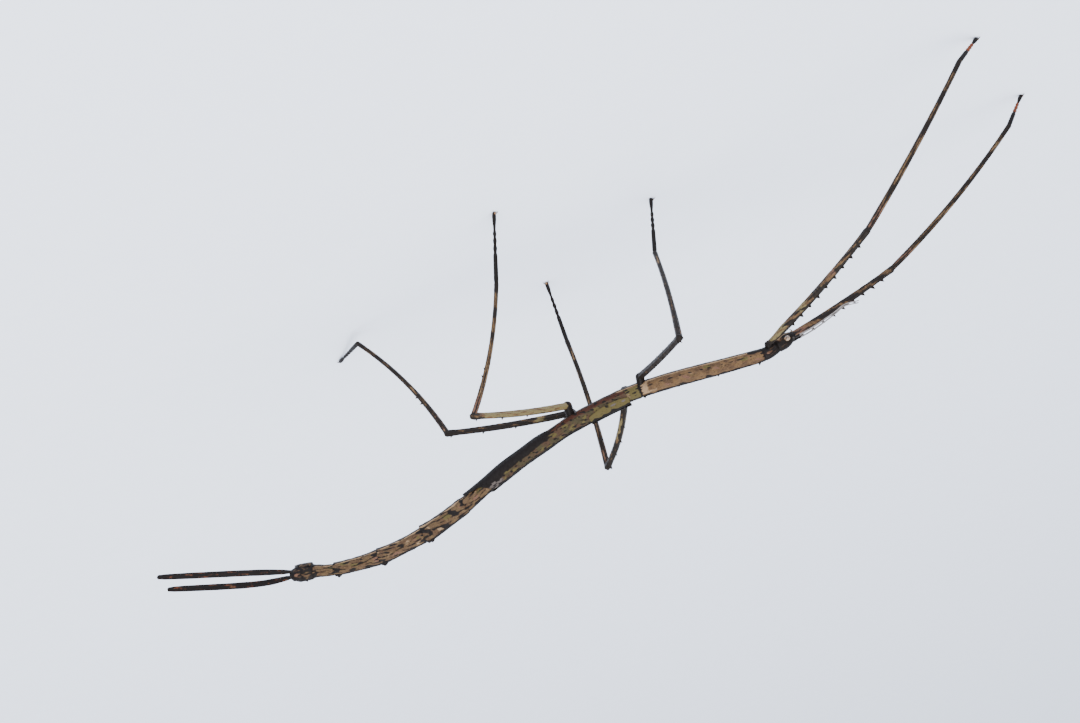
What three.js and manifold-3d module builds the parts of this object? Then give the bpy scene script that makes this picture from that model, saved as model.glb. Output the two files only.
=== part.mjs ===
// A female gargantuan stick insect, life size, standing still on its six feet.
// Units are millimetres and degrees. +X runs from tail to head, +Y to the insect's left, +Z up.
// The origin is on the floor, under the middle of the whole animal.

import * as THREE from 'three';
import { mergeVertices } from 'three/addons/utils/BufferGeometryUtils.js';
import Module from 'manifold-3d';

const wasm = await Module();
wasm.setup();

// ---------------------------------------------------------------- driving dimensions

const GAP = 0.3; // clearance between neighbouring pieces
const BED = 0.5; // clearance under the plates, which bend less sharply than the body
const BODY_SIDES = 14;
const LEG_SIDES = 7;
const TINY_SIDES = 6;
const PLATE_SIDES = 12;
const HINDWING_ROWS = 20;

// The joint between mesothorax and metathorax: where it is along X, and its height
const WAIST = { x: 48.1, height: 102.2 };
// How far the body's own axes are moved so that the origin is under the middle
const ORIGIN = { x: -34.24, y: -3.35 };

// The rings of the body from mouth to tail: length, slope of the axis with the nose up as
// positive, and the radius at the front, the middle and the rear
const RINGS = [
  { name: 'head', length: 11.3, slope: -16.5, radii: [1.9, 4.1, 3.6], color: 0x4a3826 },
  { name: 'prothorax', length: 8.4, slope: -15.0, radii: [3.5, 3.7, 3.75], color: 0x5b4630 },
  { name: 'mesothorax', length: 70.8, slope: 4.9, radii: [3.85, 4.5, 4.55], color: 0x9a7a52 },
  { name: 'metathorax', length: 38.6, slope: -6.2, radii: [4.55, 4.5, 4.6], color: 0x7b6238 },
  { name: 'abdomen_2', length: 22.9, slope: -15.4, radii: [4.55, 4.2, 4.35], color: 0x6d5836 },
  { name: 'abdomen_3', length: 26.8, slope: -17.6, radii: [4.35, 4.1, 4.35], color: 0x6d5836 },
  { name: 'abdomen_4', length: 29.1, slope: -22.9, radii: [4.3, 4.1, 4.7], color: 0x6d5836 },
  { name: 'abdomen_5', length: 27.3, slope: -17.3, radii: [5.15, 5.05, 5.75], color: 0x8a6e42 },
  { name: 'abdomen_6', length: 27.7, slope: -7.2, radii: [4.75, 4.45, 5.1], color: 0x8a6e42 },
  { name: 'abdomen_7', length: 26.1, slope: 4.5, radii: [4.7, 4.05, 4.0], color: 0x80673f },
  { name: 'abdomen_8', length: 12.1, slope: 16.4, radii: [3.3, 3.45, 3.9], color: 0x80673f },
  { name: 'abdomen_9', length: 6.4, slope: 11.2, radii: [4.3, 4.85, 4.8], color: 0x5b4630 },
  { name: 'abdomen_10', length: 6.9, slope: 4.0, radii: [4.8, 4.6, 3.6], color: 0x5b4630 },
];
const HEAD_WIDTH = 1.06; // how much wider than high the head is
const RING_EDGE = 0.5; // how far the rim of a ring is rounded over

// Points that rise from the back: the ring, how far along it, height and radius at the foot
const BACK_SPINES = [
  { ring: 'mesothorax', along: 0.05, height: 1.6, foot: 0.9 },
  { ring: 'mesothorax', along: 0.38, height: 1.0, foot: 0.8 },
  { ring: 'mesothorax', along: 0.98, height: 1.3, foot: 0.9 },
  { ring: 'abdomen_5', along: 0.9, height: 1.3, foot: 1.7 },
  { ring: 'abdomen_6', along: 0.92, height: 1.6, foot: 1.9 },
  { ring: 'abdomen_7', along: 0.91, height: 1.4, foot: 1.7 },
  { ring: 'abdomen_9', along: 0.6, height: 0.9, foot: 0.8 },
];

// Plates that lie over the rings: start and length along the body, edges as angles up from
// the insect's left side, thickness, and how many plates lie below them. A level of -1 is
// let into the rings. The hindwing's lower edge drops behind the hind leg.
const HINDWING = { start: 98.7, length: 106, low: -24, dropped: -62, high: 87.5, thick: 0.6, level: 0 };
const WING_DROP = [0.39, 0.56]; // where along the hindwing its lower edge drops
const TEGMEN = { start: 98.0, length: 25, low: 22, high: 86.5, thick: 0.5, level: 1 };
const OPERCULUM = { start: 301.6, length: 9.4, low: -155, high: -25, thick: 0.8, level: -1 };
const WING_TIP = 0.045; // share of the hindwing's length that is only a narrow tongue

const EYE = { along: 4.6, angle: 14, radius: 1.5 };
const ANTENNA = { along: 2.4, angle: 48, radius: 0.5, tip: 0.28 };
// Where the antenna's curve goes from its root: forward, outward, upward
const ANTENNA_REACH = [[0, 0, 0], [11, 1.3, -1.2], [27, 2.6, -5.2], [33, 3.0, -7.2], [41, 4.0, -6.2]];
const ANTENNA_DROOP = { left: 0, right: 0.08 }; // how much lower it hangs for each mm forward

// Each cercus runs from its root, lifted a little, through an elbow that is pushed up by bow
const CERCUS = { length: 75, root: 2.0, thick: 0.42, elbow: 0.25 };
const CERCUS_POSE = {
  left: { slope: -16.5, heading: 4.4, lift: -1.8, bow: -0.3 },
  right: { slope: -15.2, heading: 4.3, lift: 0.1, bow: 2.0 },
};
const CERCUS_BREADTH = [[0, 1.0], [0.07, 1.5], [0.2, 1.8], [0.5, 1.85], [0.8, 1.8], [0.95, 1.6], [1, 1.3]];

// For each pair of legs: the trochanter's place along the body, out and down from the axis,
// and the coxa's root; the lengths of femur, tibia and tarsus; and radii at stations along
// them. The fore femora are slim at the root, where they pass the head.
const LEGS = {
  fore: {
    hip: { along: 15.6, out: 4.2, down: 2.6, root: 1.8 },
    lengths: [92.5, 106.4, 22.0],
    femur: [[0, 1.5], [0.05, 1.6], [0.17, 2.2], [0.5, 2.05], [0.9, 1.75], [1, 1.9]],
    tibia: [[0, 1.55], [0.08, 1.65], [0.3, 1.6], [0.5, 1.5], [0.9, 1.3], [1, 1.35]],
  },
  mid: {
    hip: { along: 90.6, out: 6.0, down: 5.2, root: 2.1 },
    lengths: [62.5, 83.1, 36.0],
    femur: [[0, 1.8], [0.1, 1.95], [0.5, 1.85], [0.9, 1.75], [1, 2.05]],
    tibia: [[0, 1.7], [0.08, 1.65], [0.4, 1.4], [0.9, 1.25], [1, 1.35]],
  },
  hind: {
    hip: { along: 131.5, out: 6.5, down: 7.7, root: 2.2 },
    lengths: [74.3, 82.4, 38.0],
    femur: [[0, 1.9], [0.1, 1.9], [0.5, 1.8], [0.9, 1.65], [1, 1.95]],
    tibia: [[0, 1.6], [0.08, 1.55], [0.35, 1.35], [0.6, 1.2], [0.9, 1.15], [1, 1.25]],
  },
};
// The basal tarsal joint is the longest, four short ones follow, and the last carries claws
const TARSUS = [
  [0, 1.1], [0.06, 1.3], [0.4, 1.2], [0.45, 0.85], [0.51, 1.15], [0.56, 0.8], [0.62, 1.1],
  [0.67, 0.75], [0.72, 1.0], [0.77, 0.7], [0.95, 1.15], [1, 1.1],
];
const CLAW = { length: 2.9, foot: 0.5, spread: 38, height: 0.55 };
const TOE_HEIGHT = 0.9; // centre of the toe's pad over the floor

// The pose: heading from +X towards the left, and slope, of femur and tibia, and the
// tarsus's heading. The tarsus slopes until its toe is on the floor. bow is how far the
// middles of femur and tibia are pushed towards their outer edges. step is how far the
// trochanter is swung forward, with the coxa's root going half as far, and lean how far
// forward the femur's middle is.
const POSE = {
  fore_left: {
    side: 1, femur: [42.0, -11.2], tibia: [2.1, -42.8], tarsus: -35.2,
    bow: [1.6, 1.25], step: 0, lean: 0,
  },
  fore_right: {
    side: -1, femur: [-22.4, -20.6], tibia: [5.5, -30.8], tarsus: -19.2,
    bow: [1.1, 2.85], step: 0, lean: 0,
  },
  mid_left: {
    side: 1, femur: [62.3, 7.1], tibia: [-87.6, -57.5], tarsus: -43.0,
    bow: [0.7, 2.0], step: 2.5, lean: 0,
  },
  mid_right: {
    side: -1, femur: [-116.8, 19.6], tibia: [-80.7, -88.2], tarsus: 90.0,
    bow: [2.9, -3.9], step: -8.5, lean: 1.4,
  },
  hind_left: {
    side: 1, femur: [126.7, 7.5], tibia: [-27.2, -64.5], tarsus: 47.0,
    bow: [1.25, -3.8], step: 0, lean: 0,
  },
  hind_right: {
    side: -1, femur: [-172.5, -13.5], tibia: [-171.1, -63.8], tarsus: -119.7,
    bow: [1.15, -3.7], step: 0, lean: 0,
  },
};

// Rows of spines on the femora: angle round the femur from its outer edge, count,
// first and last place along it, and height and foot of each
const FEMUR_SPINES = {
  fore: [{ angle: 0, count: 9, from: 0.23, to: 0.9, height: 2.2, foot: 1.2 }],
  mid: [
    { angle: 25, count: 4, from: 0.4, to: 0.96, height: 1.5, foot: 0.8 },
    { angle: 180, count: 3, from: 0.45, to: 0.75, height: 1.4, foot: 0.6 },
  ],
  hind: [
    { angle: 20, count: 3, from: 0.45, to: 0.97, height: 1.3, foot: 0.8 },
    { angle: 160, count: 2, from: 0.55, to: 0.75, height: 1.0, foot: 0.6 },
  ],
};
// Leaf-like lobes on the outer edge of the hind tibiae: place along it, and height
const TIBIA_LOBES = { hind: [[0.3, 1.5], [0.36, 1.2]], mid: [[0.34, 1.0]], fore: [] };

// ---------------------------------------------------------------- small helpers

const UP = new THREE.Vector3(0, 0, 1);
const LEFT = new THREE.Vector3(0, 1, 0);
const radians = THREE.MathUtils.degToRad;

// A unit vector with a heading from +X towards +Y and a slope above the floor
function direction(heading, slope) {
  const flat = Math.cos(radians(slope));
  return new THREE.Vector3(
    flat * Math.cos(radians(heading)),
    flat * Math.sin(radians(heading)),
    Math.sin(radians(slope)),
  );
}

// The value at t of a table of [place, value] pairs, eased between its entries
function graded(table, t) {
  const last = table.length - 1;
  if (t <= table[0][0]) return table[0][1];
  if (t >= table[last][0]) return table[last][1];
  const next = table.findIndex(([place]) => place >= t);
  const [a, low] = table[next - 1];
  const [b, high] = table[next];
  return THREE.MathUtils.lerp(low, high, THREE.MathUtils.smoothstep(t, a, b));
}

// ---------------------------------------------------------------- solids

// Shared vertices merged, collapsed triangles dropped, faces turned outwards
function welded(geometry) {
  geometry.deleteAttribute('normal');
  geometry.deleteAttribute('uv');
  const merged = mergeVertices(geometry, 1e-4);
  const position = merged.getAttribute('position');
  const [a, b, c] = [new THREE.Vector3(), new THREE.Vector3(), new THREE.Vector3()];
  const faces = [];
  let volume = 0;
  for (let i = 0; i < merged.index.count; i += 3) {
    const face = [0, 1, 2].map((corner) => merged.index.getX(i + corner));
    if (new Set(face).size < 3) continue;
    faces.push(face);
    a.fromBufferAttribute(position, face[0]);
    b.fromBufferAttribute(position, face[1]);
    c.fromBufferAttribute(position, face[2]);
    volume += a.dot(b.cross(c));
  }
  const outward = volume < 0 ? faces.map((face) => face.reverse()) : faces;
  merged.setIndex(outward.flat());
  return merged;
}

function toSolid(geometry) {
  const closed = welded(geometry);
  return new wasm.Manifold(new wasm.Mesh({
    numProp: 3,
    vertProperties: new Float32Array(closed.getAttribute('position').array),
    triVerts: new Uint32Array(closed.index.array),
  }));
}

function toGeometry(solid) {
  const mesh = solid.getMesh();
  const geometry = new THREE.BufferGeometry();
  geometry.setAttribute('position', new THREE.BufferAttribute(new Float32Array(mesh.vertProperties), 3));
  geometry.setIndex(new THREE.BufferAttribute(new Uint32Array(mesh.triVerts), 1));
  geometry.computeVertexNormals();
  return geometry;
}

// A lathe turned from [station, radius] rows and closed on its axis at both ends.
// place(station, angle, radius) then says where each of its points goes.
function shaped(rows, sides, place) {
  const first = rows[0][0];
  const last = rows[rows.length - 1][0];
  const stations = [[first, 0], ...rows, [last, 0]];
  const profile = stations.map(([station, radius]) => new THREE.Vector2(radius, station));
  const lathe = new THREE.LatheGeometry(profile, sides);
  const position = lathe.getAttribute('position');
  for (let i = 0; i < position.count; i += 1) {
    const radius = Math.hypot(position.getX(i), position.getZ(i));
    const angle = Math.atan2(position.getZ(i), position.getX(i));
    const point = place(position.getY(i), angle, radius);
    position.setXYZ(i, point.x, point.y, point.z);
  }
  return toSolid(lathe);
}

// A cone standing on a foot point, its base sunk a little way into what carries it
function thorn(foot, outward, height, radius) {
  const sunk = 0.5;
  const cone = new THREE.ConeGeometry(radius, height + sunk, 4);
  cone.translate(0, (height + sunk) / 2 - sunk, 0);
  cone.applyQuaternion(new THREE.Quaternion().setFromUnitVectors(new THREE.Vector3(0, 1, 0), outward));
  cone.translate(foot.x, foot.y, foot.z);
  return toSolid(cone);
}

// ---------------------------------------------------------------- the body's axis

const ringStart = {};
let bodyLength = 0;
for (const ring of RINGS) {
  ringStart[ring.name] = bodyLength;
  bodyLength += ring.length;
}

// Joints of the body from mouth to tail, laid out both ways from the waist
function bodyJoints() {
  const waist = new THREE.Vector3(WAIST.x, 0, WAIST.height);
  const waistRing = RINGS.findIndex((ring) => ring.name === 'metathorax');
  const joints = [waist];
  for (let i = waistRing - 1; i >= 0; i -= 1) {
    const step = direction(0, RINGS[i].slope).multiplyScalar(RINGS[i].length);
    joints.unshift(joints[0].clone().add(step));
  }
  for (let i = waistRing; i < RINGS.length; i += 1) {
    const step = direction(0, RINGS[i].slope).multiplyScalar(RINGS[i].length);
    joints.push(joints[joints.length - 1].clone().sub(step));
  }
  return joints;
}

// Two points on each ring keep it nearly straight, with most of the bend at the joints
function bodyPoints() {
  const joints = bodyJoints();
  const onRing = (end, i) => [0.2, 0.8].map((share) => joints[i].clone().lerp(end, share));
  const inner = joints.slice(1).flatMap(onRing);
  return [joints[0], ...inner, joints[joints.length - 1]];
}

const bodyAxis = new THREE.CatmullRomCurve3(bodyPoints());
bodyAxis.arcLengthDivisions = 1200;

// A point at a distance from the mouth, an angle up from the left side, and a radius
function onBody(distance, angle, radius, width = 1) {
  const share = distance / bodyLength;
  const tailward = bodyAxis.getTangentAt(share);
  const upward = new THREE.Vector3(tailward.z, 0, -tailward.x);
  return bodyAxis.getPointAt(share)
    .addScaledVector(LEFT, Math.cos(angle) * radius * width)
    .addScaledVector(upward, Math.sin(angle) * radius);
}

// Radius of a ring at t from 0 to 1: the parabola through its front, middle and rear
function ringRadius(ring, t) {
  const [front, middle, rear] = ring.radii;
  return front * (1 - t) * (1 - 2 * t) + middle * 4 * t * (1 - t) + rear * t * (2 * t - 1);
}

function bodyRadius(distance) {
  const isHere = ({ name, length }) => distance <= ringStart[name] + length;
  const ring = RINGS.find(isHere) ?? RINGS[RINGS.length - 1];
  return ringRadius(ring, (distance - ringStart[ring.name]) / ring.length);
}

// ---------------------------------------------------------------- rings

// One ring, with its rims rounded over, or the same ring grown on all sides
function ringSolid(ring, grow = 0) {
  const from = ringStart[ring.name] + GAP / 2;
  const to = ringStart[ring.name] + ring.length - GAP / 2;
  const count = THREE.MathUtils.clamp(Math.round(ring.length / 8), 2, 5);
  const rows = [[from - grow, ringRadius(ring, 0) * 0.9 + grow]];
  for (let i = 0; i <= count; i += 1) {
    const t = i / count;
    rows.push([THREE.MathUtils.lerp(from + RING_EDGE, to - RING_EDGE, t), ringRadius(ring, t) + grow]);
  }
  rows.push([to + grow, ringRadius(ring, 1) * 0.9 + grow]);
  const width = ring.name === 'head' ? HEAD_WIDTH : 1;
  return shaped(rows, BODY_SIDES, (distance, angle, radius) => (
    onBody(THREE.MathUtils.clamp(distance, 0, bodyLength), angle, radius, width)
  ));
}

function ringWithSpines(ring) {
  let solid = ringSolid(ring);
  for (const spine of BACK_SPINES.filter((row) => row.ring === ring.name)) {
    const distance = ringStart[ring.name] + spine.along * ring.length;
    const radius = ringRadius(ring, spine.along);
    const foot = onBody(distance, Math.PI / 2, radius - 0.1);
    const tip = onBody(distance + spine.height * 0.6, Math.PI / 2, radius + spine.height);
    solid = solid.add(thorn(foot, tip.sub(foot).normalize(), spine.height, spine.foot));
  }
  return solid;
}

const ringNamed = Object.fromEntries(RINGS.map((ring) => [ring.name, ring]));
const grownRing = (name) => ringSolid(ringNamed[name], GAP);

// ---------------------------------------------------------------- wings and operculum

// Outer radius of what lies under a plate: the widest ring nearby, and the lower plates
function bed(distance, level) {
  const reach = 2.6;
  const widest = Math.max(bodyRadius(distance - reach), bodyRadius(distance), bodyRadius(distance + reach));
  return widest + BED + level * (HINDWING.thick + GAP);
}

// Evenly spaced shares of a plate's length, drawn closer together over its last tenth
function crowdedEnd(share) {
  const [knee, place] = [0.7, 0.9];
  if (share < knee) return share * place / knee;
  return place + (share - knee) * (1 - place) / (1 - knee);
}

// A thin plate bent over the body. edges(t) gives its lower and upper edge in degrees.
function plateSolid(plate, side, rowCount, edges, grow = 0) {
  const rows = [];
  for (let i = 0; i <= rowCount; i += 1) rows.push([crowdedEnd(i / rowCount), 1]);
  return shaped(rows, PLATE_SIDES, (t, around, share) => {
    const [low, high] = edges(t);
    const middle = (low + high) / 2;
    const half = (high - low) / 2 + THREE.MathUtils.radToDeg(grow / 4);
    const sideways = Math.sign(Math.cos(around)) * Math.abs(Math.cos(around)) ** 0.8;
    const through = Math.sign(Math.sin(around)) * Math.abs(Math.sin(around)) ** 0.5;
    const angle = radians(middle + sideways * share * half);
    const distance = plate.start - grow + (plate.length + 2 * grow) * t;
    const depth = plate.thick / 2 + grow;
    const radius = bed(distance, plate.level) + plate.thick / 2 + depth * through * share;
    const point = onBody(distance, angle, radius);
    point.y *= side;
    return point;
  });
}

// The folded hindwing covers the flank and the back and ends in a narrow tongue low down
function hindwingEdges(t) {
  const { smoothstep, lerp } = THREE.MathUtils;
  const root = smoothstep(t, -0.02, 0.07);
  const tail = smoothstep(t, 1 - 2.3 * WING_TIP, 1 - WING_TIP);
  const narrow = smoothstep(t, 1 - WING_TIP, 1);
  const drop = smoothstep(t, ...WING_DROP);
  const low = lerp(lerp(HINDWING.low + 22, HINDWING.low, root), HINDWING.dropped, drop) + narrow * 4;
  const high = lerp(lerp(HINDWING.high - 10, HINDWING.high, root), HINDWING.dropped + 24, tail) - narrow * 6;
  return [low, high];
}

// The small forewing is a pointed oval
function tegmenEdges(t) {
  const middle = (TEGMEN.low + TEGMEN.high) / 2;
  const half = (TEGMEN.high - TEGMEN.low) / 2;
  const swell = 0.25 + 0.75 * Math.sin(Math.PI * THREE.MathUtils.clamp(t * 0.85 + 0.12, 0, 1)) ** 0.7;
  return [middle - half * swell, middle + half * swell];
}

// The operculum is a keeled plate under the tail
function operculumEdges(t) {
  const middle = (OPERCULUM.low + OPERCULUM.high) / 2;
  const half = (OPERCULUM.high - OPERCULUM.low) / 2;
  const swell = 1 - 0.75 * THREE.MathUtils.smoothstep(t, 0.55, 1);
  return [middle - half * swell, middle + half * swell];
}

// ---------------------------------------------------------------- limbs

// A round-ended tube along a curve. table holds its radius, edge is the way its outer edge
// looks, and thick caps its half width across that.
function limb(curve, table, { edge, sides = LEG_SIDES, rows = 6, thick = Infinity, grow = 0 }) {
  const length = curve.getLength();
  const stations = [];
  const startRadius = table[0][1] + grow;
  const endRadius = table[table.length - 1][1] + grow;
  const cap = [45];
  for (const tilt of cap) {
    stations.push([-startRadius * Math.cos(radians(tilt)) / length, startRadius * Math.sin(radians(tilt))]);
  }
  const places = table.length > rows ? table.map(([place]) => place) : [];
  for (let i = 0; places.length <= rows && i <= rows; i += 1) places.push(i / rows);
  for (const t of places) stations.push([t, graded(table, t) + grow]);
  for (const tilt of [...cap].reverse()) {
    stations.push([1 + endRadius * Math.cos(radians(tilt)) / length, endRadius * Math.sin(radians(tilt))]);
  }
  return shaped(stations, sides, (t, angle, radius) => {
    const { point, across, outer } = limbFrame(curve, t, length, edge);
    return point
      .addScaledVector(outer, Math.cos(angle) * radius)
      .addScaledVector(across, Math.max(-thick, Math.min(thick, Math.sin(angle) * radius)));
  });
}

// Point, outer-edge direction and the direction across it at t, which may run past both ends
function limbFrame(curve, t, length, edge) {
  const inside = THREE.MathUtils.clamp(t, 0, 1);
  const along = curve.getTangentAt(inside);
  const point = curve.getPointAt(inside).addScaledVector(along, (t - inside) * length);
  const outer = edge.clone().addScaledVector(along, -edge.dot(along)).normalize();
  const across = outer.clone().cross(along);
  return { point, across, outer };
}

// A curve between two points, its middle bowed towards edge and pushed forward
function bowed(from, to, edge, amount, forward = 0) {
  const along = to.clone().sub(from).normalize();
  const outer = edge.clone().addScaledVector(along, -edge.dot(along)).normalize();
  const middle = from.clone().add(to).multiplyScalar(0.5).addScaledVector(outer, 2 * amount);
  middle.x += 2 * forward;
  return new THREE.QuadraticBezierCurve3(from, middle, to);
}

// ---------------------------------------------------------------- head pieces

function eyeSolid(side) {
  const ball = new THREE.SphereGeometry(EYE.radius, 8, 6);
  ball.scale(1.1, 0.85, 1);
  const centre = onBody(EYE.along, radians(EYE.angle), bodyRadius(EYE.along) - 0.15, HEAD_WIDTH);
  ball.translate(centre.x, centre.y * side, centre.z);
  return toSolid(ball).subtract(grownRing('head'));
}

function antennaSolid(side, droop) {
  const root = onBody(ANTENNA.along, radians(ANTENNA.angle), bodyRadius(ANTENNA.along) - 0.5, HEAD_WIDTH);
  const points = ANTENNA_REACH.map(([forward, out, up]) => (
    new THREE.Vector3(root.x + forward, (root.y + out) * side, root.z + up - droop * forward)
  ));
  const curve = new THREE.CatmullRomCurve3(points);
  const { radius, tip } = ANTENNA;
  const table = [[0, radius * 1.5], [0.06, radius * 1.4], [0.12, radius], [1, tip]];
  const solid = limb(curve, table, { edge: UP, sides: TINY_SIDES, rows: 8 });
  return solid.subtract(grownRing('head'));
}

// ---------------------------------------------------------------- tail pieces

function cercusSolid(side, { slope, heading, lift, bow }) {
  const root = onBody(bodyLength - 1.0, 0, CERCUS.root);
  root.y *= side;
  root.z += lift;
  const along = direction(180 - side * heading, slope);
  const outer = UP.clone().addScaledVector(along, -along.z).normalize();
  const elbow = root.clone().addScaledVector(along, CERCUS.length * CERCUS.elbow);
  elbow.addScaledVector(outer, bow);
  const tip = root.clone().addScaledVector(along, CERCUS.length);
  const curve = new THREE.CatmullRomCurve3([root, elbow, tip]);
  const options = { edge: UP, rows: 8, thick: CERCUS.thick };
  return limb(curve, CERCUS_BREADTH, options).subtract(grownRing('abdomen_10')).subtract(grownOperculum);
}

// ---------------------------------------------------------------- legs

// Spines and lobes stand on the outer edge of a leg, or at an angle round it
function legThorns(curve, table, edge, places) {
  const length = curve.getLength();
  return places.map(({ along, angle, height, foot: width }) => {
    const { point, across, outer } = limbFrame(curve, along, length, edge);
    const turn = radians(angle);
    const outward = outer.multiplyScalar(Math.cos(turn)).addScaledVector(across, Math.sin(turn));
    const foot = point.addScaledVector(outward, graded(table, along) - 0.15);
    const leaning = outward.clone().addScaledVector(curve.getTangentAt(along), 0.35).normalize();
    return thorn(foot, leaning, height, width);
  });
}

function rowPlaces({ angle, count, from, to, height, foot }) {
  return Array.from({ length: count }, (_, i) => ({
    along: THREE.MathUtils.lerp(from, to, i / (count - 1)),
    angle,
    height: height * (i % 2 ? 1 : 0.8),
    foot,
  }));
}

// Everything below the floor is cut away, so the toe stands on a small flat
function trimmedAtFloor(solid) {
  const room = new THREE.BoxGeometry(1000, 1000, 20);
  room.translate(0, 0, -10);
  return solid.subtract(toSolid(room));
}

function tarsusSolid(ankle, toe, pose, edge) {
  const curve = new THREE.LineCurve3(ankle, toe);
  let solid = limb(curve, TARSUS, { edge, sides: TINY_SIDES });
  for (const turn of [-CLAW.spread, CLAW.spread]) {
    const foot = new THREE.Vector3(toe.x, toe.y, CLAW.height);
    const outward = direction(pose.tarsus + turn, 0);
    solid = solid.add(thorn(foot, outward, CLAW.length, CLAW.foot));
  }
  return trimmedAtFloor(solid);
}

// Joint positions of one leg, from the body out to the toe
function legJoints(name) {
  const pose = POSE[name];
  const kind = LEGS[name.split('_')[0]];
  const [femurLength, tibiaLength, tarsusLength] = kind.lengths;
  const root = onBody(kind.hip.along, radians(-50), kind.hip.root);
  const hip = onBody(kind.hip.along, 0, 0).add(new THREE.Vector3(0, kind.hip.out, -kind.hip.down));
  root.y *= pose.side;
  hip.y *= pose.side;
  root.x += pose.step / 2;
  hip.x += pose.step;
  const knee = hip.clone().addScaledVector(direction(...pose.femur), femurLength);
  const ankle = knee.clone().addScaledVector(direction(...pose.tibia), tibiaLength);
  const drop = (ankle.z - TOE_HEIGHT) / tarsusLength;
  const slope = THREE.MathUtils.radToDeg(Math.asin(THREE.MathUtils.clamp(drop, -1, 1)));
  const toe = ankle.clone().addScaledVector(direction(pose.tarsus, -slope), tarsusLength);
  return { root, hip, knee, ankle, toe };
}

function legSolids(name) {
  const pose = POSE[name];
  const kindName = name.split('_')[0];
  const kind = LEGS[kindName];
  const { root, hip, knee, ankle, toe } = legJoints(name);
  // The femur's outer edge looks up. A steep tibia's looks the way the femur points.
  const tibiaEdge = kindName === 'fore' ? UP : direction(...pose.femur);
  const coxaCurve = new THREE.LineCurve3(root, hip);
  const coxaTable = [[0, kind.hip.root + 0.4], [0.5, kind.hip.root + 0.2], [1, kind.hip.root + 0.3]];
  const femurCurve = bowed(hip, knee, UP, pose.bow[0], pose.lean);
  const tibiaCurve = bowed(knee, ankle, tibiaEdge, pose.bow[1]);
  const coxaLimb = (grow) => limb(coxaCurve, coxaTable, { edge: LEFT, rows: 2, grow });
  const femurLimb = (grow) => limb(femurCurve, kind.femur, { edge: UP, rows: 6, grow });
  const tibiaLimb = (grow) => limb(tibiaCurve, kind.tibia, { edge: tibiaEdge, rows: 5, grow });
  const spines = legThorns(femurCurve, kind.femur, UP, FEMUR_SPINES[kindName].flatMap(rowPlaces));
  const lobes = legThorns(tibiaCurve, kind.tibia, tibiaEdge, TIBIA_LOBES[kindName].map(([along, height]) => (
    { along, angle: 0, height, foot: 0.8 }
  )));
  const bodyParts = {
    fore: ['prothorax', 'head'],
    mid: ['mesothorax', 'metathorax'],
    hind: ['metathorax', 'abdomen_2'],
  };
  let coxa = coxaLimb(0);
  for (const part of bodyParts[kindName]) coxa = coxa.subtract(grownRing(part));
  if (kindName === 'hind') coxa = coxa.subtract(grownWing(pose.side));
  const femur = spines.reduce((solid, spine) => solid.add(spine), femurLimb(0)).subtract(coxaLimb(GAP));
  const tibia = lobes.reduce((solid, lobe) => solid.add(lobe), tibiaLimb(0)).subtract(femurLimb(GAP));
  const tarsus = tarsusSolid(ankle, toe, pose, tibiaEdge).subtract(tibiaLimb(GAP));
  return { coxa, femur, tibia, tarsus };
}

// ---------------------------------------------------------------- assembly

const insect = new THREE.Group();
insect.position.set(ORIGIN.x, ORIGIN.y, 0);

function addPiece(name, solid, color, roughness = 0.6) {
  const material = new THREE.MeshStandardMaterial({ color, roughness, metalness: 0 });
  const mesh = new THREE.Mesh(toGeometry(solid), material);
  mesh.name = name;
  insect.add(mesh);
}

const SIDES = { left: 1, right: -1 };
const grownOperculum = plateSolid(OPERCULUM, 1, 6, operculumEdges, GAP);
const grownWing = (side) => plateSolid(HINDWING, side, HINDWING_ROWS, hindwingEdges, GAP);

const OPERCULUM_BEDS = ['abdomen_8', 'abdomen_9', 'abdomen_10'];
for (const ring of RINGS) {
  const solid = ringWithSpines(ring);
  const bedded = OPERCULUM_BEDS.includes(ring.name);
  addPiece(ring.name, bedded ? solid.subtract(grownOperculum) : solid, ring.color);
}
addPiece('operculum', plateSolid(OPERCULUM, 1, 6, operculumEdges), 0x4f3d28);

for (const [sideName, side] of Object.entries(SIDES)) {
  addPiece(`eye_${sideName}`, eyeSolid(side), 0x2a2019, 0.3);
  addPiece(`antenna_${sideName}`, antennaSolid(side, ANTENNA_DROOP[sideName]), 0x9c9186);
  addPiece(`hindwing_${sideName}`, plateSolid(HINDWING, side, HINDWING_ROWS, hindwingEdges), 0x5f4b2c);
  addPiece(`tegmen_${sideName}`, plateSolid(TEGMEN, side, 6, tegmenEdges), 0x3a3420);
  addPiece(`cercus_${sideName}`, cercusSolid(side, CERCUS_POSE[sideName]), 0x3a2c1e);
}

const LEG_COLORS = { coxa: 0x2e241b, femur: 0x4a3c2a, tibia: 0x4f402e, tarsus: 0x2e211a };
for (const name of Object.keys(POSE)) {
  const solids = Object.entries(legSolids(name));
  for (const [part, solid] of solids) addPiece(`${name}_${part}`, solid, LEG_COLORS[part]);
}

export default insect;
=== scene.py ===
# A female gargantuan stick insect, life size, standing still on its six feet.
# Shapes are worked out in millimetres and degrees, with +X from tail to head, +Y to the insect's
# left and +Z up, and become metres when they are put into a mesh.

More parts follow.
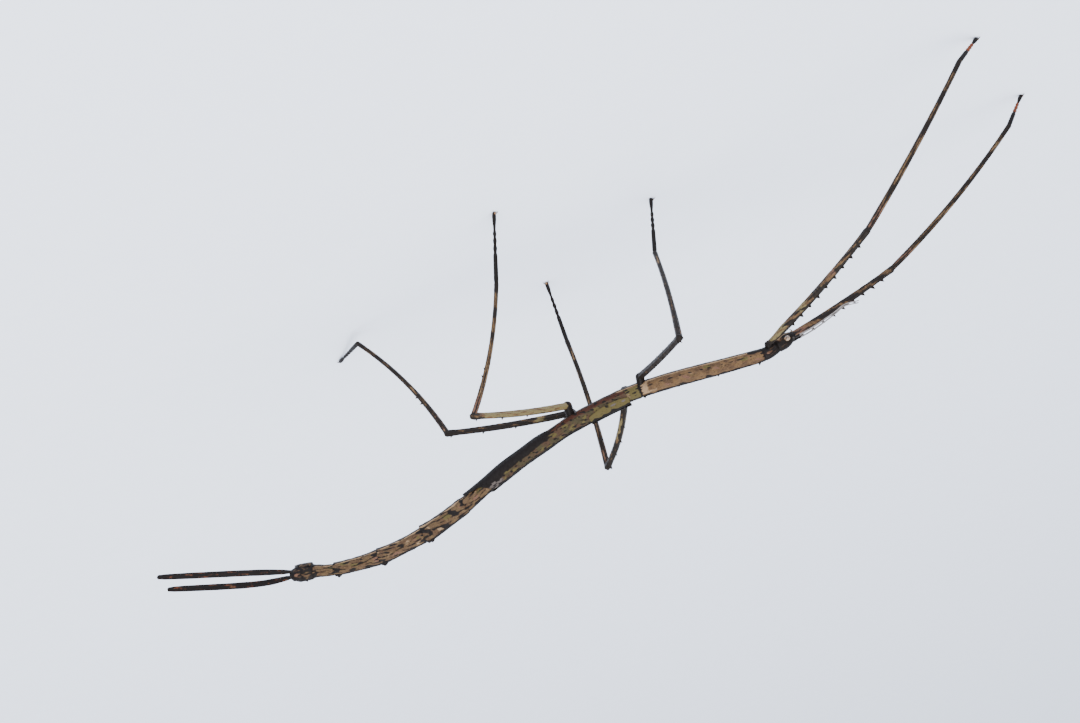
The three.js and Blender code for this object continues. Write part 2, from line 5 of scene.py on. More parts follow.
import bpy
import numpy as np
from mathutils import Matrix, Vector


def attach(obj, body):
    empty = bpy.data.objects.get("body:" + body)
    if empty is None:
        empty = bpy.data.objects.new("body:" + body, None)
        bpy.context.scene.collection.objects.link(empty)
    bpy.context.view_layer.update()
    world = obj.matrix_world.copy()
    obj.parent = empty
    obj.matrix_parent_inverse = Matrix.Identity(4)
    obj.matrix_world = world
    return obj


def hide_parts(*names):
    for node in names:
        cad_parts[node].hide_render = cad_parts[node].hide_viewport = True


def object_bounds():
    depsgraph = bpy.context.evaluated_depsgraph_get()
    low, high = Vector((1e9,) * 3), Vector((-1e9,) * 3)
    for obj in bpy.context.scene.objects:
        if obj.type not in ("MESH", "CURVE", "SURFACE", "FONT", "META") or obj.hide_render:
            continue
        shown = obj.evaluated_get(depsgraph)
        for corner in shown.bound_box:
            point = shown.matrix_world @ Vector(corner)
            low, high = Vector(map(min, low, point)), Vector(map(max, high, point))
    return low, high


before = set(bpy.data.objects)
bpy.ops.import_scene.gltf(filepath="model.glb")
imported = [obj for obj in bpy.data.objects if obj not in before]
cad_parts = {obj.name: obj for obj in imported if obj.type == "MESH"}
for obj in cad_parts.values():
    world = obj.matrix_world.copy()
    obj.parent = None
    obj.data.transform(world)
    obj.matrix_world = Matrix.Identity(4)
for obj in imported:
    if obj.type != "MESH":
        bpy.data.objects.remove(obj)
cad_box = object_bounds()

# ---------------------------------------------------------------- driving dimensions

MM = 0.001
WAIST = (48.1, 102.2)  # joint of mesothorax and metathorax: place along X, and height
ORIGIN = np.array([-34.24, -3.35, 0.0])  # how far the body's own axes are moved

# Rings of the body from mouth to tail: length, slope with the nose up as positive, and radius
# at the front, the middle and the rear
RINGS = {
    "head": (11.3, -16.5, (1.9, 4.1, 3.6)),
    "prothorax": (8.4, -15.0, (3.5, 3.7, 3.75)),
    "mesothorax": (70.8, 4.9, (3.85, 4.5, 4.55)),
    "metathorax": (38.6, -6.2, (4.55, 4.5, 4.6)),
    "abdomen_2": (22.9, -15.4, (4.55, 4.2, 4.35)),
    "abdomen_3": (26.8, -17.6, (4.35, 4.1, 4.35)),
    "abdomen_4": (29.1, -22.9, (4.3, 4.1, 4.7)),
    "abdomen_5": (27.3, -17.3, (5.15, 5.05, 5.75)),
    "abdomen_6": (27.7, -7.2, (4.75, 4.45, 5.1)),
    "abdomen_7": (26.1, 4.5, (4.7, 4.05, 4.0)),
    "abdomen_8": (12.1, 16.4, (3.3, 3.45, 3.9)),
    "abdomen_9": (6.4, 11.2, (4.3, 4.85, 4.8)),
    "abdomen_10": (6.9, 4.0, (4.8, 4.6, 3.6)),
}
HEAD_WIDTH = 1.06

# Points that rise from the back: ring, share of its length, height and radius at the foot
BACK_SPINES = [
    ("mesothorax", 0.05, 1.6, 0.9), ("mesothorax", 0.38, 1.0, 0.8), ("mesothorax", 0.98, 1.3, 0.9),
    ("abdomen_5", 0.9, 1.3, 1.7), ("abdomen_6", 0.92, 1.6, 1.9), ("abdomen_7", 0.91, 1.4, 1.7),
    ("abdomen_9", 0.6, 0.9, 0.8),
]

# Plates over the rings: start and length along the body, lower and upper edge as angles up
# from the insect's left, thickness, and how many plates lie below. The hindwing's lower edge
# drops behind the hind leg.
HINDWING = dict(start=98.7, length=106, low=-24, dropped=-62, high=87.5, thick=0.6, level=0)
WING_DROP = (0.39, 0.56)
TEGMEN = dict(start=98.0, length=25, low=22, high=86.5, thick=0.5, level=1)
OPERCULUM = dict(start=301.6, length=9.4, low=-155, high=-25, thick=0.8, level=-1)
WING_TIP = 0.075
GAP = 0.3
BED = 0.5  # clearance under the plates

EYE = dict(along=4.6, angle=14, radius=1.5)
ANTENNA = dict(along=2.4, angle=48, radius=0.5, tip=0.28)
ANTENNA_REACH = [(0, 0, 0), (11, 1.3, -1.2), (27, 2.6, -5.2), (33, 3.0, -7.2), (41, 4.0, -6.2)]
ANTENNA_DROOP = dict(left=0, right=0.08)

# Each cercus runs from its root, lifted a little, through an elbow that is pushed up by bow
CERCUS = dict(length=75, root=2.0, thick=0.42, elbow=0.25)
CERCUS_POSE = {
    "left": dict(slope=-16.5, heading=4.4, lift=-1.8, bow=-0.3),
    "right": dict(slope=-15.2, heading=4.3, lift=0.1, bow=2.0),
}
CERCUS_BREADTH = [(0, 1.0), (0.07, 1.5), (0.2, 1.8), (0.5, 1.85), (0.8, 1.8), (0.95, 1.6), (1, 1.3)]

# For each pair of legs: the trochanter's place along the body, out and down from the axis, and
# the coxa's root; lengths of femur, tibia and tarsus; and radii along them
LEGS = {
    "fore": dict(
        hip=(15.6, 4.2, 2.6, 1.8), lengths=(92.5, 106.4, 22.0),
        femur=[(0, 1.5), (0.05, 1.6), (0.17, 2.2), (0.5, 2.05), (0.9, 1.75), (1, 1.9)],
        tibia=[(0, 1.55), (0.08, 1.65), (0.3, 1.6), (0.5, 1.5), (0.9, 1.3), (1, 1.35)],
    ),
    "mid": dict(
        hip=(90.6, 6.0, 5.2, 2.1), lengths=(62.5, 83.1, 36.0),
        femur=[(0, 1.8), (0.1, 1.95), (0.5, 1.85), (0.9, 1.75), (1, 2.05)],
        tibia=[(0, 1.7), (0.08, 1.65), (0.4, 1.4), (0.9, 1.25), (1, 1.35)],
    ),
    "hind": dict(
        hip=(131.5, 6.5, 7.7, 2.2), lengths=(74.3, 82.4, 38.0),
        femur=[(0, 1.9), (0.1, 1.9), (0.5, 1.8), (0.9, 1.65), (1, 1.95)],
        tibia=[(0, 1.6), (0.08, 1.55), (0.35, 1.35), (0.6, 1.2), (0.9, 1.15), (1, 1.25)],
    ),
}
TARSUS = [
    (0, 1.1), (0.06, 1.3), (0.4, 1.2), (0.45, 0.85), (0.51, 1.15), (0.56, 0.8), (0.62, 1.1),
    (0.67, 0.75), (0.72, 1.0), (0.77, 0.7), (0.95, 1.15), (1, 1.1),
]
CLAW = dict(length=2.9, spread=38, height=0.55)
TOE_HEIGHT = 0.9

# The pose: side, heading and slope of femur and tibia, and the tarsus's heading; how far the
# middles of femur and tibia are pushed towards their outer edges; how far the trochanter is swung
# forward, and the femur's middle
POSE = {
    "fore_left": dict(side=1, femur=(42.0, -11.2), tibia=(2.1, -42.8), tarsus=-35.2, bow=(1.6, 1.25)),
    "fore_right": dict(side=-1, femur=(-22.4, -20.6), tibia=(5.5, -30.8), tarsus=-19.2, bow=(1.1, 2.85)),
    "mid_left": dict(side=1, femur=(62.3, 7.1), tibia=(-87.6, -57.5), tarsus=-43.0, bow=(0.7, 2.0)),
    "mid_right": dict(side=-1, femur=(-116.8, 19.6), tibia=(-80.7, -88.2), tarsus=90.0, bow=(2.9, -3.9)),
    "hind_left": dict(side=1, femur=(126.7, 7.5), tibia=(-27.2, -64.5), tarsus=47.0, bow=(1.25, -3.8)),
    "hind_right": dict(
        side=-1, femur=(-172.5, -13.5), tibia=(-171.1, -63.8), tarsus=-119.7, bow=(1.15, -3.7),
    ),
}
STEP = dict(mid_left=2.5, mid_right=-8.5)
LEAN = dict(mid_right=1.4)

# Rows of spines on the femora: angle round it from its outer edge, count, first and last place,
# height and foot
FEMUR_SPINES = {
    "fore": [(0, 9, 0.23, 0.9, 2.2, 1.2)],
    "mid": [(25, 4, 0.4, 0.96, 1.5, 0.8), (180, 3, 0.45, 0.75, 1.4, 0.6)],
    "hind": [(20, 3, 0.45, 0.97, 1.3, 0.8), (160, 2, 0.55, 0.75, 1.0, 0.6)],
}
KNEE_POINTS = [(0.985, 35, 1.3, 0.7), (0.965, -35, 1.1, 0.7)]  # on the middle femora, as for thorns_on
TIBIA_LOBES = {"hind": [(0.3, 1.5), (0.36, 1.2)], "mid": [(0.34, 1.0)], "fore": []}
LOBE_FOOT = 0.8

# The view: distance to what it looks at, size of a pixel there, width in pixels, angle above the
# floor, roll, turn from the insect's left, and the target's height
VIEW = dict(distance=1250, pixel=0.56, width=1080, above=21.777, roll=161.951, turn=5.216, target=66.6)

UP = np.array([0.0, 0.0, 1.0])
LEFT = np.array([0.0, 1.0, 0.0])
AHEAD = np.array([1.0, 0.0, 0.0])
SIDES = {"left": 1, "right": -1}

# ---------------------------------------------------------------- numbers and curves


def unit(vectors):
    """Vectors divided by their own length."""
    return vectors / np.linalg.norm(vectors, axis=-1, keepdims=True)


def smooth(low, high, value):
    """0 below low, 1 above high, and an S-shaped cubic between."""
    share = np.clip((value - low) / (high - low), 0, 1)
    return share * share * (3 - 2 * share)


def bell(value, centre, width):
    """1 at centre, falling off on both sides as a Gaussian."""
    return np.exp(-(((value - centre) / width) ** 2))


def blend(low, high, share):
    """The value or point at a share of the way from low to high."""
    return low + (high - low) * share


def graded(table, place):
    """The value at a place of a table of (place, value) rows, eased between its entries."""
    places, values = np.array(table, dtype=float).T
    place = np.clip(place, places[0], places[-1])
    right = np.clip(np.searchsorted(places, place), 1, len(places) - 1)
    share = smooth(places[right - 1], places[right], place)
    return blend(values[right - 1], values[right], share)


def direction(heading, slope):
    """A unit vector with a heading from +X towards +Y and a slope above the floor."""
    heading, slope = np.radians(heading), np.radians(slope)
    return np.array([np.cos(slope) * np.cos(heading), np.cos(slope) * np.sin(heading), np.sin(slope)])


def ripples(distance, angle, seed, scale):
    """Irregular relief from about -1 to 1: a sum of sine waves with seeded lengths and slants,
    each going round the piece a whole number of times so that it joins up."""
    rng = np.random.default_rng(seed)
    total = 0
    for _ in range(9):
        turns = rng.integers(1, 6) * rng.choice([-1, 1])
        pitch = rng.uniform(0.5, 2.2) / scale
        total = total + np.sin(distance * pitch + turns * angle + rng.uniform(0, 2 * np.pi))
    return total / 5


def streaks(distance, angle, seed):
    """Irregular stripes along a piece: ripples that change fast round it and slowly along it."""
    rng = np.random.default_rng(seed)
    total = 0
    for _ in range(12):
        turns = rng.integers(5, 19) * rng.choice([-1, 1])
        total = total + np.sin(distance * rng.uniform(0.15, 0.9) + turns * angle + rng.uniform(0, 2 * np.pi))
    return total / 5


class Path:
    """A curve through closely spaced points, read by the distance from its start. It runs on
    straight past both ends."""

    def __init__(self, points):
        self.points = points
        steps = np.linalg.norm(np.diff(points, axis=0), axis=1)
        self.reach = np.concatenate([[0], np.cumsum(steps)])
        self.length = self.reach[-1]
        self.tangents = unit(np.gradient(points, self.reach, axis=0))

    def read(self, rows, distance):
        return np.stack([np.interp(distance, self.reach, column) for column in rows.T], -1)

    def tangent(self, distance):
        return unit(self.read(self.tangents, distance))

    def at(self, distance):
        inside = np.clip(distance, 0, self.length)
        beyond = (distance - inside)[..., None]
        return self.read(self.points, inside) + beyond * self.tangent(inside)


def line(start, end):
    """A straight path."""
    share = np.linspace(0, 1, 9)[:, None]
    return Path(blend(start, end, share))


def bowed(start, end, edge, amount, forward=0.0):
    """A parabola between two points whose middle is pushed towards edge and forward by amounts."""
    along = unit(end - start)
    outer = unit(edge - along * (edge @ along))
    middle = (start + end) / 2 + 2 * amount * outer + 2 * forward * AHEAD
    share = np.linspace(0, 1, 201)[:, None]
    return Path((1 - share) ** 2 * start + 2 * share * (1 - share) * middle + share**2 * end)


def threaded(points, steps=60):
    """A centripetal Catmull-Rom curve through points: on each stretch the cubic whose end slopes
    come from the neighbouring points, weighted by the square roots of their distances."""
    points = np.array(points, dtype=float)
    points = np.concatenate([[2 * points[0] - points[1]], points, [2 * points[-1] - points[-2]]])
    share = np.linspace(0, 1, steps, endpoint=False)[:, None]
    stretches = []
    for a, b, c, d in zip(points, points[1:], points[2:], points[3:]):
        before, here, after = (np.sqrt(np.linalg.norm(q - p)) for p, q in ((a, b), (b, c), (c, d)))
        leave = ((b - a) / before - (c - a) / (before + here) + (c - b) / here) * here
        arrive = ((c - b) / here - (d - b) / (here + after) + (d - c) / after) * here
        square, cube = share**2, share**3
        stretches.append(
            b * (2 * cube - 3 * square + 1) + leave * (cube - 2 * square + share)
            + c * (3 * square - 2 * cube) + arrive * (cube - square)
        )
    return Path(np.concatenate([*stretches, points[-2:-1]]))


# ---------------------------------------------------------------- meshes


def closed(points, **paint):
    """Faces over a grid of points whose rows run round a piece. The first and last row are single
    points, closed by fans. Faces point the way that makes the volume positive. paint holds values
    for each point of the grid, by name."""
    rows, columns = points.shape[:2]

    def flat(grid):
        return np.concatenate([grid[:1, 0], grid[1:-1].reshape(-1, *grid.shape[2:]), grid[-1:, 0]])

    here = 1 + np.arange(columns)
    beside = np.roll(here, -1)
    down = columns * np.arange(rows - 3)[:, None]
    quads = np.stack([here + down, beside + down, beside + down + columns, here + down + columns], -1)
    last = columns * (rows - 3)
    start_fan = np.stack([0 * here, beside, here], -1)
    end_fan = np.stack([0 * here + last + columns + 1, here + last, beside + last], -1)
    form = dict(points=flat(points), quads=quads.reshape(-1, 4), fans=np.concatenate([start_fan, end_fan]))
    form["paint"] = {key: flat(np.broadcast_to(value, (rows, columns))) for key, value in paint.items()}
    halves = [form["quads"][:, :3], form["quads"][:, [0, 2, 3]]]
    corners = form["points"][np.concatenate([*halves, form["fans"]])]
    volume = np.einsum("ij,ij->", corners[:, 0], np.cross(corners[:, 1], corners[:, 2]))
    if volume < 0:
        form["quads"] = form["quads"][:, ::-1]
        form["fans"] = form["fans"][:, ::-1]
    return form


CHANNELS = ("dark", "pale", "warm", "olive", "along", "around")


def piece(name, forms, finish, nodes=()):
    """One object from closed forms laid end to end in one mesh, with their painted values as
    attributes of its points."""
    starts = np.cumsum([0] + [len(form["points"]) for form in forms[:-1]])
    points = np.concatenate([form["points"] for form in forms])
    quads = np.concatenate([form["quads"] + start for form, start in zip(forms, starts)])
    fans = np.concatenate([form["fans"] + start for form, start in zip(forms, starts)])
    mesh = bpy.data.meshes.new(name)
    mesh.vertices.add(len(points))
    places = np.clip((points + ORIGIN) * MM, *np.array(cad_box))  # inside the solids' box
    mesh.vertices.foreach_set("co", places.astype(np.float32).ravel())
    mesh.loops.add(quads.size + fans.size)
    mesh.loops.foreach_set("vertex_index", np.concatenate([quads.ravel(), fans.ravel()]).astype(np.int32))
    mesh.polygons.add(len(quads) + len(fans))
    loop_starts = np.concatenate([4 * np.arange(len(quads)), quads.size + 3 * np.arange(len(fans))])
    mesh.polygons.foreach_set("loop_start", loop_starts.astype(np.int32))
    for channel in CHANNELS:
        values = [form["paint"].get(channel, np.zeros(len(form["points"]))) for form in forms]
        layer = mesh.attributes.new(channel, "FLOAT", "POINT")
        layer.data.foreach_set("value", np.concatenate(values).astype(np.float32))
    mesh.update(calc_edges=True)
    mesh.shade_smooth()
    mesh.materials.append(finish)
    thing = bpy.data.objects.new(name, mesh)
    bpy.context.scene.collection.objects.link(thing)
    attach(thing, "root")
    if nodes:
        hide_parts(*nodes)
    return thing


def turned(columns):
    """Angles of the columns of a grid that goes once round a piece."""
    return np.linspace(0, 2 * np.pi, columns, endpoint=False)[None, :]


def capped(places, shares):
    """Rows for a surface that is closed at both ends: a point, the rows, a point."""
    places = np.concatenate([places[:1], places, places[-1:]])[:, None]
    shares = np.concatenate([[0], shares, [0]])[:, None]
    return places, shares


# ---------------------------------------------------------------- the body's axis


def body_joints():
    """Joints of the body from mouth to tail, laid out both ways from the waist."""
    rings = list(RINGS)
    waist = rings.index("metathorax")
    steps = [direction(0, slope) * length for length, slope, _ in RINGS.values()]
    joints = [np.array([WAIST[0], 0.0, WAIST[1]])]
    for step in reversed(steps[:waist]):
        joints.insert(0, joints[0] + step)
    for step in steps[waist:]:
        joints.append(joints[-1] - step)
    return joints


def body_points():
    """Two points on each ring keep it nearly straight, with most of the bend at the joints."""
    joints = body_joints()
    inner = [blend(a, b, share) for a, b in zip(joints, joints[1:]) for share in (0.2, 0.8)]
    return [joints[0], *inner, joints[-1]]


BODY = threaded(body_points())
LENGTHS = [length for length, _, _ in RINGS.values()]
RING_START = dict(zip(RINGS, np.cumsum([0, *LENGTHS[:-1]])))
STRETCH = BODY.length / sum(LENGTHS)  # the curve is a little longer than its chords


def on_body(distance, angle, radius, width=1.0):
    """Points round the body: the axis at a distance from the mouth, plus the left direction times
    the cosine and the upward one times the sine of the angle, times the radius."""
    distance = np.asarray(distance, dtype=float) * STRETCH
    tailward = BODY.tangent(distance)
    upward = np.stack([tailward[..., 2], 0 * tailward[..., 0], -tailward[..., 0]], -1)
    sideways = (np.cos(angle) * radius * width)[..., None]
    rise = (np.sin(angle) * radius)[..., None]
    return BODY.at(distance) + LEFT * sideways + upward * rise


def ring_radius(name, share):
    """The parabola through a ring's front, middle and rear radius."""
    front, middle, rear = RINGS[name][2]
    share = np.clip(share, 0, 1)
    return (front * (1 - share) * (1 - 2 * share) + middle * 4 * share * (1 - share)
            + rear * share * (2 * share - 1))


def body_radius(distance):
    """Radius of whichever ring lies at a distance from the mouth."""
    distance = np.asarray(distance, dtype=float)
    names = list(RINGS)
    radius = ring_radius(names[-1], (distance - RING_START[names[-1]]) / RINGS[names[-1]][0])
    for name in reversed(names[:-1]):
        share = (distance - RING_START[name]) / RINGS[name][0]
        radius = np.where(share <= 1, ring_radius(name, share), radius)
    return radius


def elevation(angle):
    """Angle above the flank, from -90 under the belly to 90 on the back, the same on both sides."""
    return np.degrees(np.arcsin(np.sin(angle)))


# ---------------------------------------------------------------- rings

ROW = 0.5  # length of a face along the body
RING_COLUMNS = 96
TUCK = 0.5  # how far the front of a ring goes under the one before it
RIM = 0.2  # how far its rear rim runs on


def spread(count, seed, *ranges):
    """count seeded random places, one column for each (low, high) range."""
    rng = np.random.default_rng(seed)
    return [rng.uniform(low, high, count) for low, high in ranges]


def grains(distance, angle, radius, seed, count, length, size=0.32):
    """Relief of small round grains on the upper half: at each seeded place, a bell of the distance
    from it over the surface."""
    places, turns, heights = spread(count, seed, (1, length - 1), (-0.3, np.pi + 0.3), (0.4, 1.0))
    relief = np.zeros(np.broadcast_shapes(distance.shape, angle.shape))
    for place, turn, height in zip(places, turns, heights):
        off = (distance - place) ** 2 + (np.angle(np.exp(1j * (angle - turn))) * radius) ** 2
        relief += height * np.exp(-off / size**2)
    return relief


def ring_form(name, seed):
    """A ring: its own radius at each place, less a tuck at the front and plus a collar at the
    rear, with a fine keel on the back, a ridge low on each flank, ripples and grains."""
    length = RINGS[name][0]
    count = int((length + TUCK + RIM) / ROW)
    distance, share = capped(np.linspace(-TUCK, length + RIM, count), np.ones(count))
    share = np.where(np.arange(count + 2)[:, None] == 0, 0, share)
    angle = turned(RING_COLUMNS)
    height = elevation(angle)
    radius = ring_radius(name, distance / length)
    radius = radius - 0.35 * (1 - smooth(-TUCK, 0.9, distance)) + 0.1 * bell(distance, length - 0.3, 0.5)
    radius = radius - 0.5 * smooth(length - 0.15, length + RIM, distance) ** 2
    if name == "abdomen_10":
        radius = radius - 1.5 * smooth(0.25, 1.0, distance / length)
    relief = 0.12 * bell(height, 90, 4) + 0.18 * bell(height, -31, 4) + 0.1 * bell(height, -90, 6)
    relief = relief + 0.07 * ripples(distance, angle, seed, 1.6)
    relief = relief + 0.04 * ripples(distance, angle * 3, seed + 50, 0.7)
    relief = relief + 0.16 * grains(distance, angle, radius, seed + 90, int(length * 1.6), length)
    places = RING_START[name] + distance
    width = HEAD_WIDTH if name == "head" else 1.0
    points = on_body(places, angle + 0 * distance, (radius + relief - 0.08) * share, width)
    return closed(points, **ring_paint(name, distance / length, angle, height, seed))


def ring_paint(name, share, angle, height, seed):
    """Markings of a ring: a dark back, mostly painted shade over a darker cuticle, a dark belly, a pale line
    along the ridge, dashes along the flank, dark joints, and patches of olive and of warm pink."""
    length = RINGS[name][0]
    distance = share * length
    wander = ripples(distance, angle, seed + 7, 2.4)
    lines = streaks(distance, angle, seed + 23)
    # Painted shade: the back is darkened mostly as shade falling on it, and partly as its own darker
    # cuticle.
    back = smooth(62, 84, height + 9 * wander)
    belly = 0.85 * smooth(-40, -56, height + 5 * wander)
    line_below = 0.85 * bell(height, -39, 3.5)
    dashes = bell(height, 4, 5) * smooth(0.15, 0.6, np.sin(distance * 1.1 + 2 * wander))
    mottles = 0.4 * smooth(-0.2, 0.7, lines)
    joints = bell(distance, -0.2, 1.0) + bell(distance, length, 0.7)
    if name not in ("mesothorax", "metathorax"):
        dashes = smooth(0.45, 0.9, wander) * smooth(80, 20, np.abs(height - 20))
        mottles = 0.65 * smooth(-0.4, 0.6, lines + 0.3 * wander)
        joints = (bell(distance, 0, 1.3) + bell(distance, length, 1.3)) * (0.55 + 0.35 * lines)
    dark = back + belly + line_below + 0.7 * dashes + 0.8 * joints + mottles
    pale = 0.9 * bell(height, -30, 5) + 0.5 * smooth(0.3, 1.0, ripples(distance, angle, seed + 11, 3.0))
    warm = 0.8 * smooth(0.1, 0.9, ripples(distance, angle, seed + 13, 3.0)) * bell(height, 28, 34)
    olive = 0.8 * smooth(0.1, 0.9, ripples(distance, angle, seed + 17, 3.5)) * bell(height, -5, 45)
    if name == "mesothorax":
        pale = pale + bell(distance, length - 2.6, 2.2) * smooth(-50, -30, height) * smooth(75, 50, height)
        dark = np.maximum(dark, smooth(0.16, 0.1, share) * smooth(-5, -22, height + 6 * wander))
    if name == "metathorax":
        olive = np.maximum(olive, 0.9 * smooth(-30, -10, height))
        dark = dark + 0.35 * smooth(0.0, 0.5, wander) * smooth(0.04, 0.08, share)
    if name in ("abdomen_9", "abdomen_10"):
        dark = dark + 0.5 - 0.3 * bell(height, 25, 18)
        pale = pale * 0.4
    if name == "prothorax":
        dark = dark + 0.7 - 0.9 * bell(height, 28, 20) * bell(share, 0.5, 0.35)
    if name == "head":
        dark = dark + 0.6 - 0.5 * pale
    dark = np.clip(dark, 0, 1)
    return dict(dark=dark, pale=np.clip(pale, 0, 1), warm=warm, olive=olive, along=share, around=height / 90)


def thorn(foot, outward, lean, height, radius, flat=1.0, dark=1.0):
    """A bent cone: its centre goes outward and leans over with the square of the height, and its
    radius shrinks to a point. flat narrows it across the lean."""
    rise, share = capped(np.linspace(0, 1, 7), 1 - np.linspace(0, 1, 7) ** 1.8)
    share[-2] = 0.02
    angle = turned(10)
    across = unit(np.cross(outward, lean))
    ahead = np.cross(across, outward)
    centre = foot + outward * (rise * (height + 0.5) - 0.5)[..., None]
    centre = centre + lean * (0.4 * height * rise**2)[..., None]
    points = centre + (ahead * (np.cos(angle) * radius * share)[..., None]
                       + across * (np.sin(angle) * radius * flat * share)[..., None])
    return closed(points, dark=dark, pale=0.0)


def back_spines(name):
    """The points that stand on a ring's back, leaning to the rear."""
    forms = []
    for ring, along, height, radius in BACK_SPINES:
        if ring != name:
            continue
        distance = RING_START[ring] + along * RINGS[ring][0]
        foot = on_body(distance, np.array(np.pi / 2), ring_radius(ring, along) - 0.1)
        above = on_body(distance, np.array(np.pi / 2), ring_radius(ring, along) + 1)
        lean = BODY.tangent(np.array(distance * STRETCH))
        forms.append(thorn(foot, unit(above - foot), lean, height, radius))
    return forms


def body_rings():
    """A shell for each ring, with the points on its back."""
    for seed, name in enumerate(RINGS):
        slot = "thorax_cuticle" if name.endswith("thorax") else "abdomen_cuticle"
        if name in ("head", "prothorax"):
            slot = "head_cuticle"
        finish = FINISHES[slot]
        piece(name + "_shell", [ring_form(name, seed), *back_spines(name)], finish, [name])


def joint_membrane():
    """A dark tube inside the rings that closes the joints: the body's radius less a margin."""
    stations = np.linspace(1.0, sum(LENGTHS) - 1.0, 320)
    distance, share = capped(stations, np.ones(320))
    angle = turned(32)
    radius = body_radius(distance) - 0.75
    points = on_body(distance, angle + 0 * distance, radius * share)
    piece("joint_membrane", [closed(points, dark=0.9)], FINISHES["abdomen_cuticle"])


# ---------------------------------------------------------------- wings and operculum


def bed(distance, level):
    """Outer radius of what lies under a plate: the widest ring nearby, and the lower plates."""
    reach = 2.6
    widest = np.maximum(body_radius(distance - reach), body_radius(distance))
    widest = np.maximum(widest, body_radius(distance + reach))
    return widest + BED + level * (HINDWING["thick"] + GAP)


def hindwing_edges(t):
    """The folded hindwing covers flank and back and ends in a narrow tongue low down."""
    root = smooth(-0.02, 0.07, t)
    tail = smooth(1 - 2.3 * WING_TIP, 1 - WING_TIP, t)
    narrow = smooth(1 - WING_TIP, 1, t)
    drop = smooth(*WING_DROP, t)
    dropped = HINDWING["dropped"]
    low = blend(blend(HINDWING["low"] + 22, HINDWING["low"], root), dropped, drop) + narrow * 4
    rise = blend(HINDWING["high"] - 10, HINDWING["high"], root)
    high = blend(rise, dropped + 50, tail) - narrow * 20
    return low, high


def tegmen_edges(t):
    """The small forewing is a pointed oval."""
    middle = (TEGMEN["low"] + TEGMEN["high"]) / 2
    half = (TEGMEN["high"] - TEGMEN["low"]) / 2
    swell = 0.25 + 0.75 * np.sin(np.pi * np.clip(t * 0.85 + 0.12, 0, 1)) ** 0.7
    return middle - half * swell, middle + half * swell


def operculum_edges(t):
    """The operculum is a keeled plate under the tail, pointed at its rear."""
    middle = (OPERCULUM["low"] + OPERCULUM["high"]) / 2
    half = (OPERCULUM["high"] - OPERCULUM["low"]) / 2
    swell = 1 - 0.75 * smooth(0.55, 1, t)
    return middle - half * swell, middle + half * swell


def plate_form(plate, side, edges, veins, paint, rows, columns=120):
    """A thin plate bent over the body. Going round its section, a rounded rectangle, moves the
    point sideways between its edges and through its thickness; veins raise the outer face."""
    t, share = capped(np.linspace(0, 1, rows), np.ones(rows))
    share[1] = share[-2] = 0.8
    around = turned(columns)
    low, high = edges(t)
    sideways = np.sign(np.cos(around)) * np.abs(np.cos(around)) ** 0.8
    through = np.sign(np.sin(around)) * np.abs(np.sin(around)) ** 0.4
    angle = (low + high) / 2 + sideways * share * (high - low) / 2
    distance = plate["start"] + plate["length"] * t
    outer = smooth(0.0, 0.9, through)
    relief = outer * veins(t, angle) * share
    radius = bed(distance, plate["level"]) + plate["thick"] / 2 * (1 + through * share) + relief
    points = on_body(distance + 0 * angle, np.radians(angle), radius)
    points[..., 1] *= side
    return closed(points, **paint(t, angle))


HINDWING_VEINS = [-19, -12, -4, 6, 17, 30, 44, 58, 70, 81]


def hindwing_veins(t, angle):
    """Relief of the long veins, which draw together towards the tail, and of low ripples."""
    relief = 0.03 * ripples(t * 106, np.radians(angle), 31, 1.5)
    for vein in HINDWING_VEINS:
        centre = blend(vein, HINDWING["low"] + 12, 0.25 * smooth(0.3, 1, t) * (vein > 0))
        relief = relief + 0.13 * bell(angle, centre, 1.5)
    return relief - 0.05


def hindwing_paint(t, angle):
    """A red-brown lower strip that turns black towards the rear, olive and tan patches along the middle with
    black spots between them, and a dark upper edge that is mostly painted shade over a darker membrane."""
    distance = t * HINDWING["length"]
    wander = ripples(distance, np.radians(angle), 41, 3.0)
    lower = smooth(8, -8, angle + 8 * wander - 30 * smooth(0.3, 0.62, t))
    black = lower * smooth(0.36, 0.52, t)
    # Painted shade: the dark upper edge along the back is mostly shade, partly the membrane's own darker
    # colour.
    upper = smooth(64, 80, angle + 8 * wander)
    spots = smooth(0.25, 0.7, ripples(distance, np.radians(angle) * 3, 43, 1.0))
    tail = smooth(0.74, 0.84, t)
    lines = smooth(0.0, 0.6, streaks(distance, np.radians(angle) * 2, 49))
    dark = np.clip(0.9 * black + upper + 0.75 * spots + 0.5 * lines + 0.3 * tail, 0, 1)
    patches = smooth(-0.1, 0.6, ripples(distance, np.radians(angle) * 2, 45, 2.0))
    olive = 0.8 * patches * smooth(0, 12, angle) * smooth(0.05, 0.2, t) * (1 - tail)
    pale = tail * (1 - lower)
    warm = smooth(14, -4, angle) * smooth(0.56, 0.36, t)
    return dict(dark=dark, pale=pale, warm=warm, olive=olive, along=t, around=angle / 90)


def tegmen_veins(t, angle):
    """A raised keel along the tegmen's middle, with a net of low ripples."""
    keel = 0.25 * bell(angle, 52, 5) * bell(t, 0.35, 0.35)
    return keel + 0.05 * ripples(t * 25, np.radians(angle) * 4, 53, 0.6)


def tegmen_paint(t, angle):
    """Olive brown with a black-green upper edge, which is mostly painted shade over a darker membrane, and
    two whitish marks near the root.
    """
    distance = t * TEGMEN["length"]
    wander = ripples(distance, np.radians(angle), 57, 1.8)
    # The dark upper edge is mostly painted shade on the wing's top side; the blotches from wander are the
    # wing's own colour.
    dark = np.clip(smooth(58, 70, angle + 6 * wander) + 0.6 * smooth(0.3, 0.8, wander), 0, 1)
    marks = bell(distance, 3.4, 1.3) * bell(angle, 40, 7) + bell(distance, 9.5, 2.0) * bell(angle, 38, 6)
    olive = 0.9 - 0.5 * marks
    return dict(dark=dark * (1 - marks), pale=marks, warm=0.0, olive=olive, along=t, around=angle / 90)


def operculum_veins(t, angle):
    """A sharp keel along the middle of the plate."""
    return 0.1 * bell(angle, -90, 4) - 0.05


